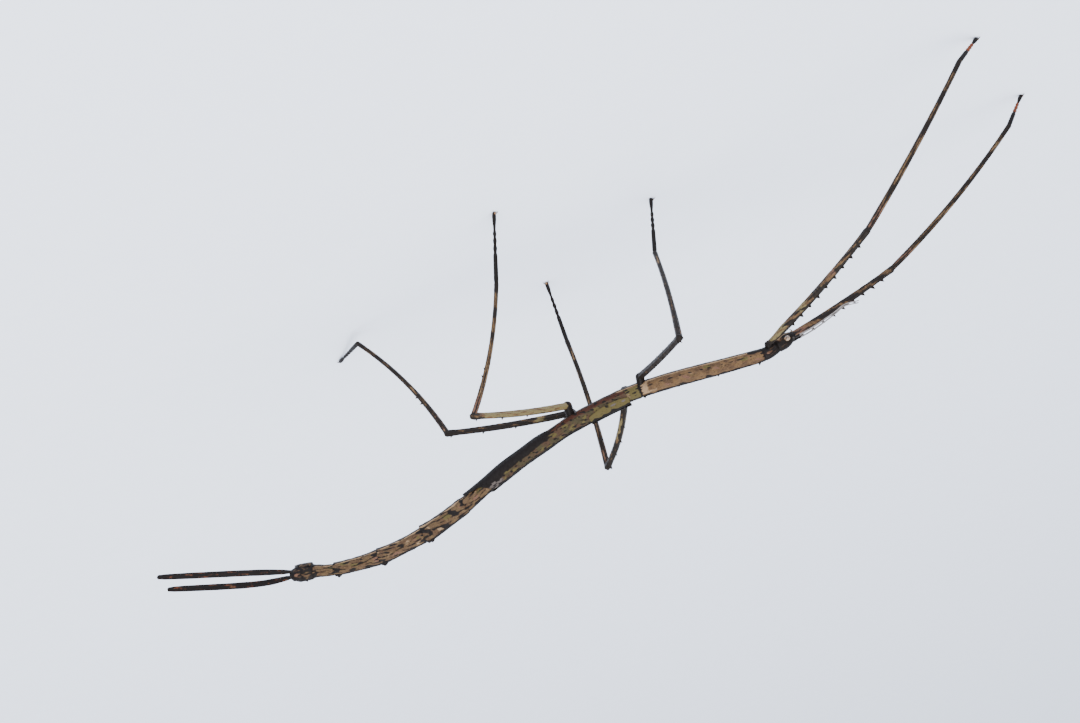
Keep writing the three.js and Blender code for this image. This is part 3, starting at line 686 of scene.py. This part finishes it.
def operculum_paint(t, angle):
    """Dark with irregular pale blotches."""
    wander = ripples(t * 16, np.radians(angle), 61, 1.5)
    return dict(dark=0.55 + 0.4 * smooth(0.1, 0.7, wander), pale=0.4 * smooth(0.2, 0.9, -wander), along=t)


def wings_and_operculum():
    """The four wings, and the plate under the tail."""
    slot = "wing_membrane"
    for side_name, side in SIDES.items():
        wing = plate_form(HINDWING, side, hindwing_edges, hindwing_veins, hindwing_paint, 280)
        piece(f"hindwing_{side_name}_fold", [wing], FINISHES[slot], [f"hindwing_{side_name}"])
        cover = plate_form(TEGMEN, side, tegmen_edges, tegmen_veins, tegmen_paint, 90)
        piece(f"tegmen_{side_name}_cover", [cover], FINISHES[slot], [f"tegmen_{side_name}"])
    plate = plate_form(OPERCULUM, 1, operculum_edges, operculum_veins, operculum_paint, 60)
    piece("operculum_plate", [plate], FINISHES["abdomen_cuticle"], ["operculum"])


# ---------------------------------------------------------------- limbs


def frame_along(path, t, edge):
    """Point, tangent, outer direction and the direction across it at shares t of a path."""
    distance = t * path.length
    along = path.tangent(np.clip(distance, 0, path.length))
    outer = unit(edge - along * (along @ edge)[..., None])
    return path.at(distance), along, outer, np.cross(outer, along)


def limb_form(path, table, edge, paint, columns=36, row=0.6, section=None, thick=None, relief=None):
    """A round-ended tube along a path: at each place the radius from its table, swollen by the
    section's ridges, in the outer direction times the cosine and across it times the sine."""
    start, end = table[0][1], table[-1][1]
    tilt = np.radians(np.arange(0, 90, 15))
    body = np.linspace(0, 1, int(path.length / row))
    before = -start * np.cos(tilt) / path.length
    beyond = 1 + end * np.cos(tilt[::-1]) / path.length
    t = np.concatenate([before, body, beyond])
    radius = np.concatenate([start * np.sin(tilt), graded(table, body), end * np.sin(tilt[::-1])])
    t, radius = t[:, None], radius[:, None]
    angle = turned(columns)
    swell = 1 if section is None else section(angle)
    radius = radius * swell
    if relief is not None:
        radius = radius + relief(t, angle) * smooth(0, 0.5, radius)
    across_by = np.sin(angle) * radius
    if thick is not None:
        across_by = thick(t, angle, radius)
    centre, _, outer, across = frame_along(path, t, edge)
    points = centre + outer * (np.cos(angle) * radius)[..., None] + across * across_by[..., None]
    return closed(points, **paint(t, angle))


def ridged(count, height):
    """A section with long ridges: 1 plus a height at each of count evenly spaced angles."""
    def section(angle):
        return 1 - height / 2 + height * np.abs(np.cos(angle * count / 2)) ** 3
    return section


def thorns_on(path, table, edge, places, flat=0.6):
    """Thorns at (share, angle from the outer edge, height, foot) places, leaning forward."""
    forms = []
    for share, angle, height, radius in places:
        centre, along, outer, across = frame_along(path, np.array(share), edge)
        outward = outer * np.cos(np.radians(angle)) + across * np.sin(np.radians(angle))
        foot = centre + outward * (graded(table, np.array(share)) - 0.15)
        forms.append(thorn(foot, outward, along, height, radius, flat))
    return forms


def spine_rows(kind):
    """Every spine of a femur, alternately taller and lower along each row, and on a middle femur
    two short points at the knee."""
    rows = list(KNEE_POINTS) if kind == "mid" else []
    for angle, count, first, last, height, foot in FEMUR_SPINES[kind]:
        for i in range(count):
            rows.append((blend(first, last, i / (count - 1)), angle, height * (1 if i % 2 else 0.8), foot))
    return rows


def leg_joints(name):
    """Joint positions of one leg, from the body out to the toe on the floor."""
    pose = POSE[name]
    along, out, down, root_radius = LEGS[name.split("_")[0]]["hip"]
    lengths = LEGS[name.split("_")[0]]["lengths"]
    root = on_body(along, np.radians(np.array(-50.0)), root_radius)
    hip = on_body(along, np.array(0.0), 0.0) + np.array([0, out, -down])
    root[1] *= pose["side"]
    hip[1] *= pose["side"]
    root[0] += STEP.get(name, 0.0) / 2
    hip[0] += STEP.get(name, 0.0)
    knee = hip + direction(*pose["femur"]) * lengths[0]
    ankle = knee + direction(*pose["tibia"]) * lengths[1]
    slope = np.degrees(np.arcsin(np.clip((ankle[2] - TOE_HEIGHT) / lengths[2], -1, 1)))
    toe = ankle + direction(pose["tarsus"], -slope) * lengths[2]
    return root, hip, knee, ankle, toe


# How each leg is marked: share that is dark, how strong its bands are, and its paler stretches
LEG_TONES = {
    "fore_left": dict(dark=0.55, bands=[(0.04, 0.2, "olive"), (0.33, 0.4, "olive"), (0.62, 0.7, "warm")]),
    "fore_right": dict(dark=0.62, bands=[(0.1, 0.3, "warm"), (0.94, 1.0, "pale")]),
    "mid_left": dict(dark=0.95, bands=[(0.95, 1.0, "warm")]),
    "mid_right": dict(dark=0.7, bands=[(0.3, 0.6, "olive")]),
    "hind_left": dict(dark=0.2, bands=[(0.02, 0.9, "olive")]),
    "hind_right": dict(dark=0.8, bands=[(0.2, 0.3, "olive")]),
}


def femur_paint(name):
    """A dark band along the upper side that is mostly painted shade, a weaker dark edge along the underside,
    a dark knee, and paler bands of olive, pink and cream.
    """
    tone = LEG_TONES[name]
    seed = 100 + list(POSE).index(name)

    def paint(t, angle):
        wander = ripples(t * 80, angle, seed, 3.0)
        off_edge = np.degrees(np.abs(np.angle(np.exp(1j * angle))))
        # The band on the upper side (0 degrees) is mostly painted shade. The weaker band underneath marks
        # the leg's dark lower edge.
        dark_lines = 0.9 * bell(off_edge, 0, 26) + 0.5 * bell(off_edge, 180, 22)
        lines = smooth(0.0, 0.7, streaks(t * 80, angle, seed + 40))
        knee = smooth(0.93, 0.97, t)
        dark = tone["dark"] + 0.5 * wander + dark_lines + 0.3 * lines + 0.4 * knee
        paint = dict(pale=0 * t + 0 * angle, warm=0 * t + 0 * angle, olive=0.3 + 0.4 * wander)
        for first, last, kind in tone["bands"]:
            band = smooth(first - 0.03, first + 0.03, t) * smooth(last + 0.03, last - 0.03, t)
            dark = dark - 0.45 * band
            paint[kind] = paint[kind] + band * (0.5 + 0.4 * wander)
        return dict(dark=np.clip(dark, 0, 1), along=t, around=angle, **paint)

    return paint


def tibia_paint(name):
    """Dark ridges with paler strips between them, and dark and pale bands towards the ankle."""
    tone = LEG_TONES[name]
    seed = 120 + list(POSE).index(name)

    def paint(t, angle):
        wander = ripples(t * 100, angle, seed, 4.0)
        dark_lines = 0.55 * np.abs(np.cos(angle * 3)) ** 8
        bands = 0.5 * smooth(0.0, 0.7, np.sin(t * 34)) * smooth(0.5, 0.7, t)
        dark = 0.25 + 0.4 * tone["dark"] + 0.3 * wander + dark_lines + bands + 0.5 * bell(t, 0, 0.02)
        warm = smooth(0.25, 0.05, t) + 0.4 * smooth(0.1, 0.8, wander)
        pale = 0.5 * smooth(0.2, 0.9, -wander)
        tints = dict(pale=pale, warm=np.clip(warm, 0, 1), olive=0.3)
        return dict(dark=np.clip(dark, 0, 1), along=t, around=angle, **tints)

    return paint


def coxa_paint(t, angle):
    """Nearly black, a little paler on two sides."""
    return dict(dark=0.8 + 0.2 * np.cos(angle * 2), pale=0.0, warm=0.3, olive=0.0, along=t)


def tarsus_paint(redness):
    """A black first joint, short ones that are more or less red-brown, and a dark last one."""

    def paint(t, angle):
        short = redness * smooth(0.42, 0.47, t) * smooth(0.8, 0.75, t)
        pale = 0.3 * short * bell(np.sin(t * 60), 1, 0.4)
        return dict(dark=1 - 0.7 * short, warm=short, pale=pale, along=t)

    return paint


def claw_form(toe, heading):
    """A hook: a tapering tube along an arc that goes out from the toe and down to the floor."""
    length = CLAW["length"] - 0.1
    outward = direction(heading, 0)
    base = np.array([toe[0], toe[1], CLAW["height"]])
    share = np.linspace(0, 1, 24)[:, None]
    arc = base + outward * (length * share) + UP * (0.5 * np.sin(np.pi * share) - 0.3 * share**2)
    table = [(0, 0.42), (0.5, 0.3), (1, 0.06)]
    return limb_form(Path(arc), table, UP, lambda t, angle: dict(dark=1.0), 12, 0.15)


def pad_form(centre, heading, size, pale):
    """A soft pad: an ellipsoid with its long axis along the heading."""
    ahead = direction(heading, 0)
    aside = np.cross(UP, ahead)
    polar = np.radians(np.linspace(0, 180, 13))[:, None]
    angle = turned(16)
    ring = np.sin(polar)
    points = centre + ahead * (np.cos(polar) * size[0] + 0 * angle)[..., None]
    points = points + aside * (ring * np.cos(angle) * size[1])[..., None]
    points = points + UP * (ring * np.sin(angle) * size[2])[..., None]
    return closed(points, dark=0.2, pale=pale, warm=0.7)


def leg(name):
    """One leg: coxa, femur with its spines, tibia with its lobes, tarsus with its pad, and claws."""
    pose = POSE[name]
    tarsus_heading = pose["tarsus"]
    kind_name = name.split("_")[0]
    kind = LEGS[kind_name]
    root, hip, knee, ankle, toe = leg_joints(name)
    tibia_edge = UP if kind_name == "fore" else direction(*pose["femur"])
    root_radius = kind["hip"][3]
    coxa_table = [(0, root_radius + 0.4), (0.5, root_radius + 0.2), (1, root_radius + 0.3)]
    femur_path = bowed(hip, knee, UP, pose["bow"][0], LEAN.get(name, 0.0))
    tibia_path = bowed(knee, ankle, tibia_edge, pose["bow"][1])
    seed = 140 + list(POSE).index(name)

    def uneven(scale, amount):
        return lambda t, angle: amount * ripples(t * 90, angle, seed, scale)

    coxa = limb_form(line(root, hip), coxa_table, LEFT, coxa_paint, 32, 0.3, ridged(4, 0.1),
                     relief=uneven(1.5, 0.08))
    femur = limb_form(femur_path, kind["femur"], UP, femur_paint(name), 40, 0.5, ridged(5, 0.14),
                      relief=uneven(1.2, 0.05))
    tibia = limb_form(tibia_path, kind["tibia"], tibia_edge, tibia_paint(name), 36, 0.5, ridged(6, 0.14),
                      relief=uneven(1.2, 0.04))
    redness = 1.0 if kind_name == "fore" else 0.35
    tarsus = limb_form(line(ankle, toe), TARSUS, tibia_edge, tarsus_paint(redness), 28, 0.25)
    spines = thorns_on(femur_path, kind["femur"], UP, spine_rows(kind_name))
    lobe_places = [(share, 0, height, LOBE_FOOT) for share, height in TIBIA_LOBES[kind_name]]
    lobes = thorns_on(tibia_path, kind["tibia"], tibia_edge, lobe_places)
    claws = [claw_form(toe, tarsus_heading + turn) for turn in (-CLAW["spread"], CLAW["spread"])]
    pad = pad_form(toe + direction(tarsus_heading, 0) * 0.9, tarsus_heading, (1.0, 0.8, 0.7), 0.5)
    parts = [("coxa", [coxa], "dark_cuticle"), ("femur", [femur, *spines], "leg_cuticle"),
             ("tibia", [tibia, *lobes], "leg_cuticle"), ("tarsus", [tarsus, pad], "dark_cuticle")]
    for part, forms, slot in parts:
        piece(f"{name}_{part}_shell", forms, FINISHES[slot], [f"{name}_{part}"])
    piece(f"{name}_claws", claws, FINISHES["claw_horn"])


# ---------------------------------------------------------------- head and tail pieces


def eye(side_name, side):
    """A compound eye: an ellipsoid set in the side of the head."""
    centre = on_body(EYE["along"], np.radians(np.array(float(EYE["angle"]))),
                     body_radius(EYE["along"]) - 0.15, HEAD_WIDTH)
    centre[1] *= side
    polar = np.radians(np.linspace(0, 180, 41))[:, None]
    angle = turned(64)
    ball = np.stack([np.cos(polar) * 1.1 + 0 * angle, np.sin(polar) * np.cos(angle) * 0.85,
                     np.sin(polar) * np.sin(angle)], -1)
    points = centre + ball * EYE["radius"]
    piece(f"eye_{side_name}_ball", [closed(points)], FINISHES["eye"], [f"eye_{side_name}"])


def antenna(side_name, side):
    """Thick first two joints, then a long whip with a slight waist at each joint."""
    droop = ANTENNA_DROOP[side_name]
    root = on_body(ANTENNA["along"], np.radians(np.array(float(ANTENNA["angle"]))),
                   body_radius(ANTENNA["along"]) - 0.5, HEAD_WIDTH)
    points = [(root[0] + x, (root[1] + y) * side, root[2] + z - droop * x) for x, y, z in ANTENNA_REACH]
    r = ANTENNA["radius"]
    table = [(0, r * 1.5), (0.05, r * 1.5), (0.07, r * 1.0), (0.08, r * 1.2), (0.12, r * 1.2),
             (0.14, r * 0.9), (1, ANTENNA["tip"])]

    def waists(t, angle):
        return -0.05 * bell(np.sin(t * np.pi * 22), 0, 0.25) + 0 * angle

    def paint(t, angle):
        return dict(dark=0.7 * smooth(0.15, 0.1, t) + 0.3 * bell(np.sin(t * np.pi * 22), 0, 0.3), pale=0.5)

    form = limb_form(threaded(points), table, UP, paint, 16, 0.2, relief=waists)
    slot = "antenna_cuticle"
    piece(f"antenna_{side_name}_whip", [form], FINISHES[slot], [f"antenna_{side_name}"])


def cercus(side_name, side):
    """A leaf-like blade: its section is a thin lens, thickest along a rib down the middle, and its
    edge waves a little."""
    pose = CERCUS_POSE[side_name]
    root = on_body(sum(LENGTHS) - 1.0, np.array(0.0), CERCUS["root"])
    root[1] *= side
    root[2] += pose["lift"]
    along = direction(180 - side * pose["heading"], pose["slope"])
    outer = unit(UP - along * along[2])
    elbow = root + along * CERCUS["length"] * CERCUS["elbow"] + outer * pose["bow"]
    path = threaded([root, elbow, root + along * CERCUS["length"]])

    def lens(t, angle, radius):
        width = np.abs(np.cos(angle))
        rib = 0.16 * bell(np.cos(angle), 0.0, 0.16)
        veins = 0.05 * np.abs(np.sin(t * 90 + 3 * width))
        half = CERCUS["thick"] * (0.35 + 0.65 * (1 - width**2)) - 0.1 + rib - veins * width
        return np.sign(np.sin(angle)) * half * np.abs(np.sin(angle)) ** 0.35 * smooth(0, 0.5, radius)

    def wavy(t, angle):
        return 0.06 * ripples(t * 73, angle * 0 + side, 71, 2.5)

    def paint(t, angle):
        wander = ripples(t * 73, angle, 73 + side, 3.0)
        dark = np.clip(0.75 + 0.3 * wander, 0, 1)
        return dict(dark=dark, pale=0.3 * smooth(0.3, 0.9, -wander), warm=0.5, along=t, around=np.cos(angle))

    form = limb_form(path, CERCUS_BREADTH, UP, paint, 48, 0.5, thick=lens, relief=wavy)
    slot = "dark_cuticle"
    piece(f"cercus_{side_name}_blade", [form], FINISHES[slot], [f"cercus_{side_name}"])


def mouthparts():
    """Lip, jaws and jointed palps under the front of the head."""
    forms = []
    for side in (1, -1):
        start = on_body(1.2, np.radians(np.array(-62.0)), 1.6)
        start[1] *= side
        bend = start + np.array([1.2, 0.5 * side, -1.0])
        end = bend + np.array([-0.9, 0.35 * side, -1.0])
        path = threaded([start, bend, end], 30)
        table = [(0, 0.34), (0.3, 0.38), (0.36, 0.26), (0.42, 0.36), (0.66, 0.36), (0.72, 0.24),
                 (0.78, 0.33), (1, 0.2)]
        forms.append(limb_form(path, table, UP, lambda t, angle: dict(dark=0.3, pale=0.5), 14, 0.12))
        jaw = on_body(0.9, np.radians(np.array(-50.0)), 1.2)
        jaw[1] *= side
        forms.append(pad_form(jaw, -25 * side, (1.3, 0.8, 0.9), 0.1))
    lip = on_body(0.5, np.radians(np.array(-90.0)), 0.2)
    forms.append(pad_form(lip, 0, (0.9, 1.3, 1.0), 0.3))
    piece("mouthparts", forms, FINISHES["head_cuticle"])


# ---------------------------------------------------------------- shader groups


def group(name, inputs, outputs):
    """An empty node group with float inputs (name, default) and float outputs."""
    tree = bpy.data.node_groups.new(name, "ShaderNodeTree")
    for label, default in inputs:
        socket = tree.interface.new_socket(name=label, in_out="INPUT", socket_type="NodeSocketFloat")
        socket.default_value = default
    for label in outputs:
        tree.interface.new_socket(name=label, in_out="OUTPUT", socket_type="NodeSocketFloat")
    return tree, tree.nodes.new("NodeGroupInput").outputs, tree.nodes.new("NodeGroupOutput").inputs


def set_input(tree, socket, value):
    """Links a socket to another, or sets its own value."""
    if isinstance(value, bpy.types.NodeSocket):
        tree.links.new(value, socket)
    else:
        socket.default_value = value


def math(tree, operation, *values):
    """The output of a sum, product or comparison of sockets or numbers."""
    node = tree.nodes.new("ShaderNodeMath")
    node.operation = operation
    for socket, value in zip(node.inputs, values):
        set_input(tree, socket, value)
    return node.outputs[0]


def remap(tree, value, low, high, to_low=0.0, to_high=1.0):
    """A value eased from one range to another."""
    node = tree.nodes.new("ShaderNodeMapRange")
    node.interpolation_type = "SMOOTHSTEP"
    for socket, number in zip(node.inputs, (value, low, high, to_low, to_high)):
        set_input(tree, socket, number)
    return node.outputs[0]


def object_place(tree):
    """The place on the object, in metres."""
    return tree.nodes.new("ShaderNodeTexCoord").outputs["Object"]


def noise(tree, scale, detail=3.0, roughness=0.55):
    """Cloudy noise from 0 to 1, with scale blotches to a metre."""
    node = tree.nodes.new("ShaderNodeTexNoise")
    tree.links.new(object_place(tree), node.inputs["Vector"])
    set_input(tree, node.inputs["Scale"], scale)
    node.inputs["Detail"].default_value = detail
    node.inputs["Roughness"].default_value = roughness
    return node.outputs["Fac"]


def broken_edge_group():
    """Mask from a painted value whose edge is broken up by noise."""
    tree, given, result = group("Broken edge", [("Value", 0.0), ("Scale", 900.0), ("Break", 0.6)], ["Mask"])
    grain = math(tree, "SUBTRACT", noise(tree, given["Scale"]), 0.5)
    moved = math(tree, "ADD", given["Value"], math(tree, "MULTIPLY", grain, given["Break"]))
    tree.links.new(remap(tree, moved, 0.3, 0.7), result["Mask"])
    return tree


def mottle_group():
    """Soft blotches at one scale, from noise between two thresholds."""
    tree, given, result = group("Mottle", [("Scale", 300.0), ("Low", 0.4), ("High", 0.6)], ["Mask"])
    blotches = noise(tree, given["Scale"], 4.0)
    tree.links.new(remap(tree, blotches, given["Low"], given["High"]), result["Mask"])
    return tree


def speckle_group():
    """Small dark dots: the middles of some of the cells of a Voronoi pattern."""
    tree, given, result = group("Speckle", [("Scale", 1500.0), ("Size", 0.3), ("Share", 0.5)], ["Mask"])
    cells = tree.nodes.new("ShaderNodeTexVoronoi")
    tree.links.new(object_place(tree), cells.inputs["Vector"])
    tree.links.new(given["Scale"], cells.inputs["Scale"])
    dot = math(tree, "LESS_THAN", cells.outputs["Distance"], given["Size"])
    split = tree.nodes.new("ShaderNodeSeparateColor")
    tree.links.new(cells.outputs["Color"], split.inputs[0])
    chosen = math(tree, "LESS_THAN", split.outputs[0], given["Share"])
    tree.links.new(math(tree, "MULTIPLY", dot, chosen), result["Mask"])
    return tree


def skin_relief_group():
    """Height of fine grain and shallow pits in the cuticle, in parts of the bump's distance."""
    tree, given, result = group("Skin relief", [("Scale", 1600.0), ("Pits", 0.4)], ["Height"])
    cells = tree.nodes.new("ShaderNodeTexVoronoi")
    cells.feature = "SMOOTH_F1"
    tree.links.new(object_place(tree), cells.inputs["Vector"])
    tree.links.new(given["Scale"], cells.inputs["Scale"])
    pits = math(tree, "MULTIPLY", cells.outputs["Distance"], given["Pits"])
    grain = noise(tree, given["Scale"], 5.0, 0.65)
    tree.links.new(math(tree, "ADD", grain, pits), result["Height"])
    return tree


GROUPS = {
    "edge": broken_edge_group(),
    "mottle": mottle_group(),
    "speckle": speckle_group(),
    "relief": skin_relief_group(),
}


def placed(tree, key, **values):
    """A shader group placed in a material, with its own values."""
    node = tree.nodes.new("ShaderNodeGroup")
    node.node_tree = GROUPS[key]
    for label, value in values.items():
        set_input(tree, node.inputs[label], value)
    return node.outputs[0]


def painted(tree, channel):
    """A value that the mesh carries at each of its points."""
    node = tree.nodes.new("ShaderNodeAttribute")
    node.attribute_name = channel
    return node.outputs["Fac"]


def srgb(red, green, blue):
    """A colour as on a screen, from 0 to 255, as linear light."""
    share = np.array([red, green, blue]) / 255
    linear = np.where(share <= 0.04045, share / 12.92, ((share + 0.055) / 1.055) ** 2.4)
    return (*linear, 1.0)


def mixed(tree, factor, under, over):
    """A colour with another laid over it by a factor."""
    node = tree.nodes.new("ShaderNodeMix")
    node.data_type = "RGBA"
    set_input(tree, node.inputs["Factor"], factor)
    set_input(tree, node.inputs[6], under)
    set_input(tree, node.inputs[7], over)
    return node.outputs[2]


# ---------------------------------------------------------------- finishes

BLACK_BROWN = srgb(14, 9, 7)
RED_BROWN = srgb(50, 25, 15)
TAN = srgb(82, 60, 36)
BROWN = srgb(58, 40, 25)
OLIVE = srgb(70, 61, 32)
DEEP_OLIVE = srgb(48, 42, 22)
PINK_TAN = srgb(88, 62, 48)
CREAM = srgb(124, 100, 74)
DARK_TAN = srgb(72, 55, 34)
PALE_OLIVE = srgb(96, 84, 54)
SOOT_BROWN = srgb(22, 16, 12)
RUST = srgb(92, 46, 27)
PURPLE_GREY = srgb(74, 66, 62)
GREY = srgb(104, 98, 94)
DARK_GREY = srgb(86, 80, 76)
PALE_GREY = srgb(128, 122, 120)


def cuticle(name, base, second, warm=PINK_TAN, pale=CREAM, olive=OLIVE, dark=BLACK_BROWN, rough=(0.42, 0.62),
            mottle=260.0, break_up=0.9, speckle=0.45, gloss=0.1, grain=0.00012):
    """Cuticle: two ground colours in blotches with a fine pale mottle, then olive, warm, pale and dark
    markings where the mesh is painted with them, the dark ones including painted shade along the back and
    the upper edges, then dark dots, and fine relief."""
    material = bpy.data.materials.new(name)
    material.use_nodes = True
    tree = material.node_tree
    shader = tree.nodes["Principled BSDF"]
    colour = mixed(tree, placed(tree, "mottle", Scale=mottle, Low=0.4, High=0.62), base, second)
    fine = placed(tree, "mottle", Scale=2400.0, Low=0.35, High=0.75)
    colour = mixed(tree, math(tree, "MULTIPLY", fine, 0.25), colour, pale)
    markings = (("olive", olive, 420.0), ("warm", warm, 330.0), ("pale", pale, 700.0), ("dark", dark, 620.0))
    for channel, tint, scale in markings:
        mask = placed(tree, "edge", Value=painted(tree, channel), Scale=scale, Break=break_up)
        colour = mixed(tree, mask, colour, tint)
    dots = math(tree, "MULTIPLY", placed(tree, "speckle", Scale=1100.0, Size=0.28, Share=0.35), speckle)
    colour = mixed(tree, dots, colour, dark)
    tree.links.new(colour, shader.inputs["Base Color"])
    tree.links.new(remap(tree, noise(tree, 500.0), 0.3, 0.7, *rough), shader.inputs["Roughness"])
    shader.inputs["Specular IOR Level"].default_value = gloss
    bump = tree.nodes.new("ShaderNodeBump")
    bump.inputs["Strength"].default_value = 0.6
    bump.inputs["Distance"].default_value = grain
    tree.links.new(placed(tree, "relief", Scale=1500.0, Pits=0.5), bump.inputs["Height"])
    tree.links.new(bump.outputs["Normal"], shader.inputs["Normal"])
    return material


def eye_finish():
    """A compound eye, dark brown with paler blotches, tiny facets and a wet gloss."""
    material = bpy.data.materials.new("eye")
    material.use_nodes = True
    tree = material.node_tree
    shader = tree.nodes["Principled BSDF"]
    blotches = placed(tree, "mottle", Scale=900.0, Low=0.4, High=0.6)
    colour = mixed(tree, blotches, srgb(70, 48, 30), srgb(150, 122, 92))
    tree.links.new(colour, shader.inputs["Base Color"])
    tree.links.new(remap(tree, noise(tree, 800.0), 0.3, 0.7, 0.15, 0.25), shader.inputs["Roughness"])
    shader.inputs["Coat Weight"].default_value = 0.6
    bump = tree.nodes.new("ShaderNodeBump")
    bump.inputs["Strength"].default_value = 0.4
    bump.inputs["Distance"].default_value = 0.00005
    tree.links.new(placed(tree, "relief", Scale=9000.0, Pits=1.0), bump.inputs["Height"])
    tree.links.new(bump.outputs["Normal"], shader.inputs["Normal"])
    return material


FINISHES = {
    "head_cuticle": cuticle("head cuticle", BROWN, RED_BROWN, mottle=420.0),
    "thorax_cuticle": cuticle("thorax cuticle", TAN, BROWN),
    "abdomen_cuticle": cuticle("abdomen cuticle", BROWN, DARK_TAN, mottle=320.0, break_up=1.1),
    "wing_membrane": cuticle("wing membrane", BROWN, DEEP_OLIVE, warm=RED_BROWN, pale=PURPLE_GREY,
                             mottle=240.0, rough=(0.5, 0.7)),
    "leg_cuticle": cuticle("leg cuticle", TAN, BROWN, olive=PALE_OLIVE, dark=SOOT_BROWN, mottle=500.0),
    "dark_cuticle": cuticle("dark cuticle", RED_BROWN, BROWN, warm=RUST, mottle=500.0),
    "antenna_cuticle": cuticle("antenna cuticle", GREY, DARK_GREY, pale=PALE_GREY, mottle=600.0),
    "claw_horn": cuticle("claw horn", RED_BROWN, BLACK_BROWN, rough=(0.25, 0.35), grain=0.00004),
    "eye": eye_finish(),
}

# ---------------------------------------------------------------- floor, light and camera


def floor():
    """A wide flat sheet of pale matt board."""
    mesh = bpy.data.meshes.new("floor")
    reach = 9.0
    corners = [(-reach, -reach, 0), (reach, -reach, 0), (reach, reach, 0), (-reach, reach, 0)]
    mesh.from_pydata(corners, [], [(0, 1, 2, 3)])
    board = bpy.data.materials.new("floor board")
    board.use_nodes = True
    tree = board.node_tree
    shader = tree.nodes["Principled BSDF"]
    colour = mixed(tree, noise(tree, 60.0), (0.83, 0.87, 0.97, 1), (0.86, 0.90, 0.99, 1))
    tree.links.new(colour, shader.inputs["Base Color"])
    shader.inputs["Roughness"].default_value = 0.9
    shader.inputs["Specular IOR Level"].default_value = 0.1
    mesh.materials.append(board)
    sheet = bpy.data.objects.new("floor", mesh)
    bpy.context.scene.collection.objects.link(sheet)


def stand(thing, place, right, above, back):
    """Puts a thing at a place in metres with its own X, Y and Z along three directions."""
    axes = Matrix(np.stack([right, above, back], -1).tolist())
    thing.matrix_world = Matrix.Translation(place) @ axes.to_4x4()


def lamp(name, place, target, size, power):
    """A soft square light at a place in metres, turned towards a target."""
    light = bpy.data.lights.new(name, "AREA")
    light.size = size
    light.energy = power
    thing = bpy.data.objects.new(name, light)
    bpy.context.scene.collection.objects.link(thing)
    back = unit(np.array(place) - np.array(target))
    right = unit(np.cross(UP + 0.001 * LEFT, back))
    above = np.cross(back, right)
    stand(thing, place, right, above, back)


def lights():
    """Even light from all round, a soft lamp overhead and a weak one low on the left."""
    world = bpy.data.worlds.new("studio")
    bpy.context.scene.world = world
    world.use_nodes = True
    world.node_tree.nodes["Background"].inputs["Color"].default_value = (0.84, 0.90, 1.0, 1)
    world.node_tree.nodes["Background"].inputs["Strength"].default_value = 2.0
    middle = (0.0, 0.0, 0.06)
    lamp("overhead", (-0.2, 0.4, 1.8), middle, 1.6, 44)
    lamp("low_front", (0.1, 1.3, 0.25), middle, 0.9, 16)


def camera():
    """A long lens on the insect's left, above the floor, rolled so that the back looks down."""
    above, roll, turn = (np.radians(VIEW[key]) for key in ("above", "roll", "turn"))
    towards = np.array([np.sin(turn) * np.cos(above), np.cos(turn) * np.cos(above), np.sin(above)])
    place = (np.array([0, 0, VIEW["target"]]) + ORIGIN + towards * VIEW["distance"]) * MM
    level = unit(np.cross(-towards, UP))
    upright = np.cross(level, -towards)
    right = np.cos(roll) * level + np.sin(roll) * upright
    top = np.cos(roll) * upright - np.sin(roll) * level
    data = bpy.data.cameras.new("camera")
    data.sensor_width = 36
    data.lens = data.sensor_width * VIEW["distance"] / (VIEW["width"] * VIEW["pixel"])
    thing = bpy.data.objects.new("camera", data)
    bpy.context.scene.collection.objects.link(thing)
    stand(thing, place, right, top, towards)
    bpy.context.scene.camera = thing


camera()
floor()
lights()
body_rings()
joint_membrane()
mouthparts()
wings_and_operculum()
for leg_name in POSE:
    leg(leg_name)
for side_name, side in SIDES.items():
    eye(side_name, side)
    antenna(side_name, side)
    cercus(side_name, side)
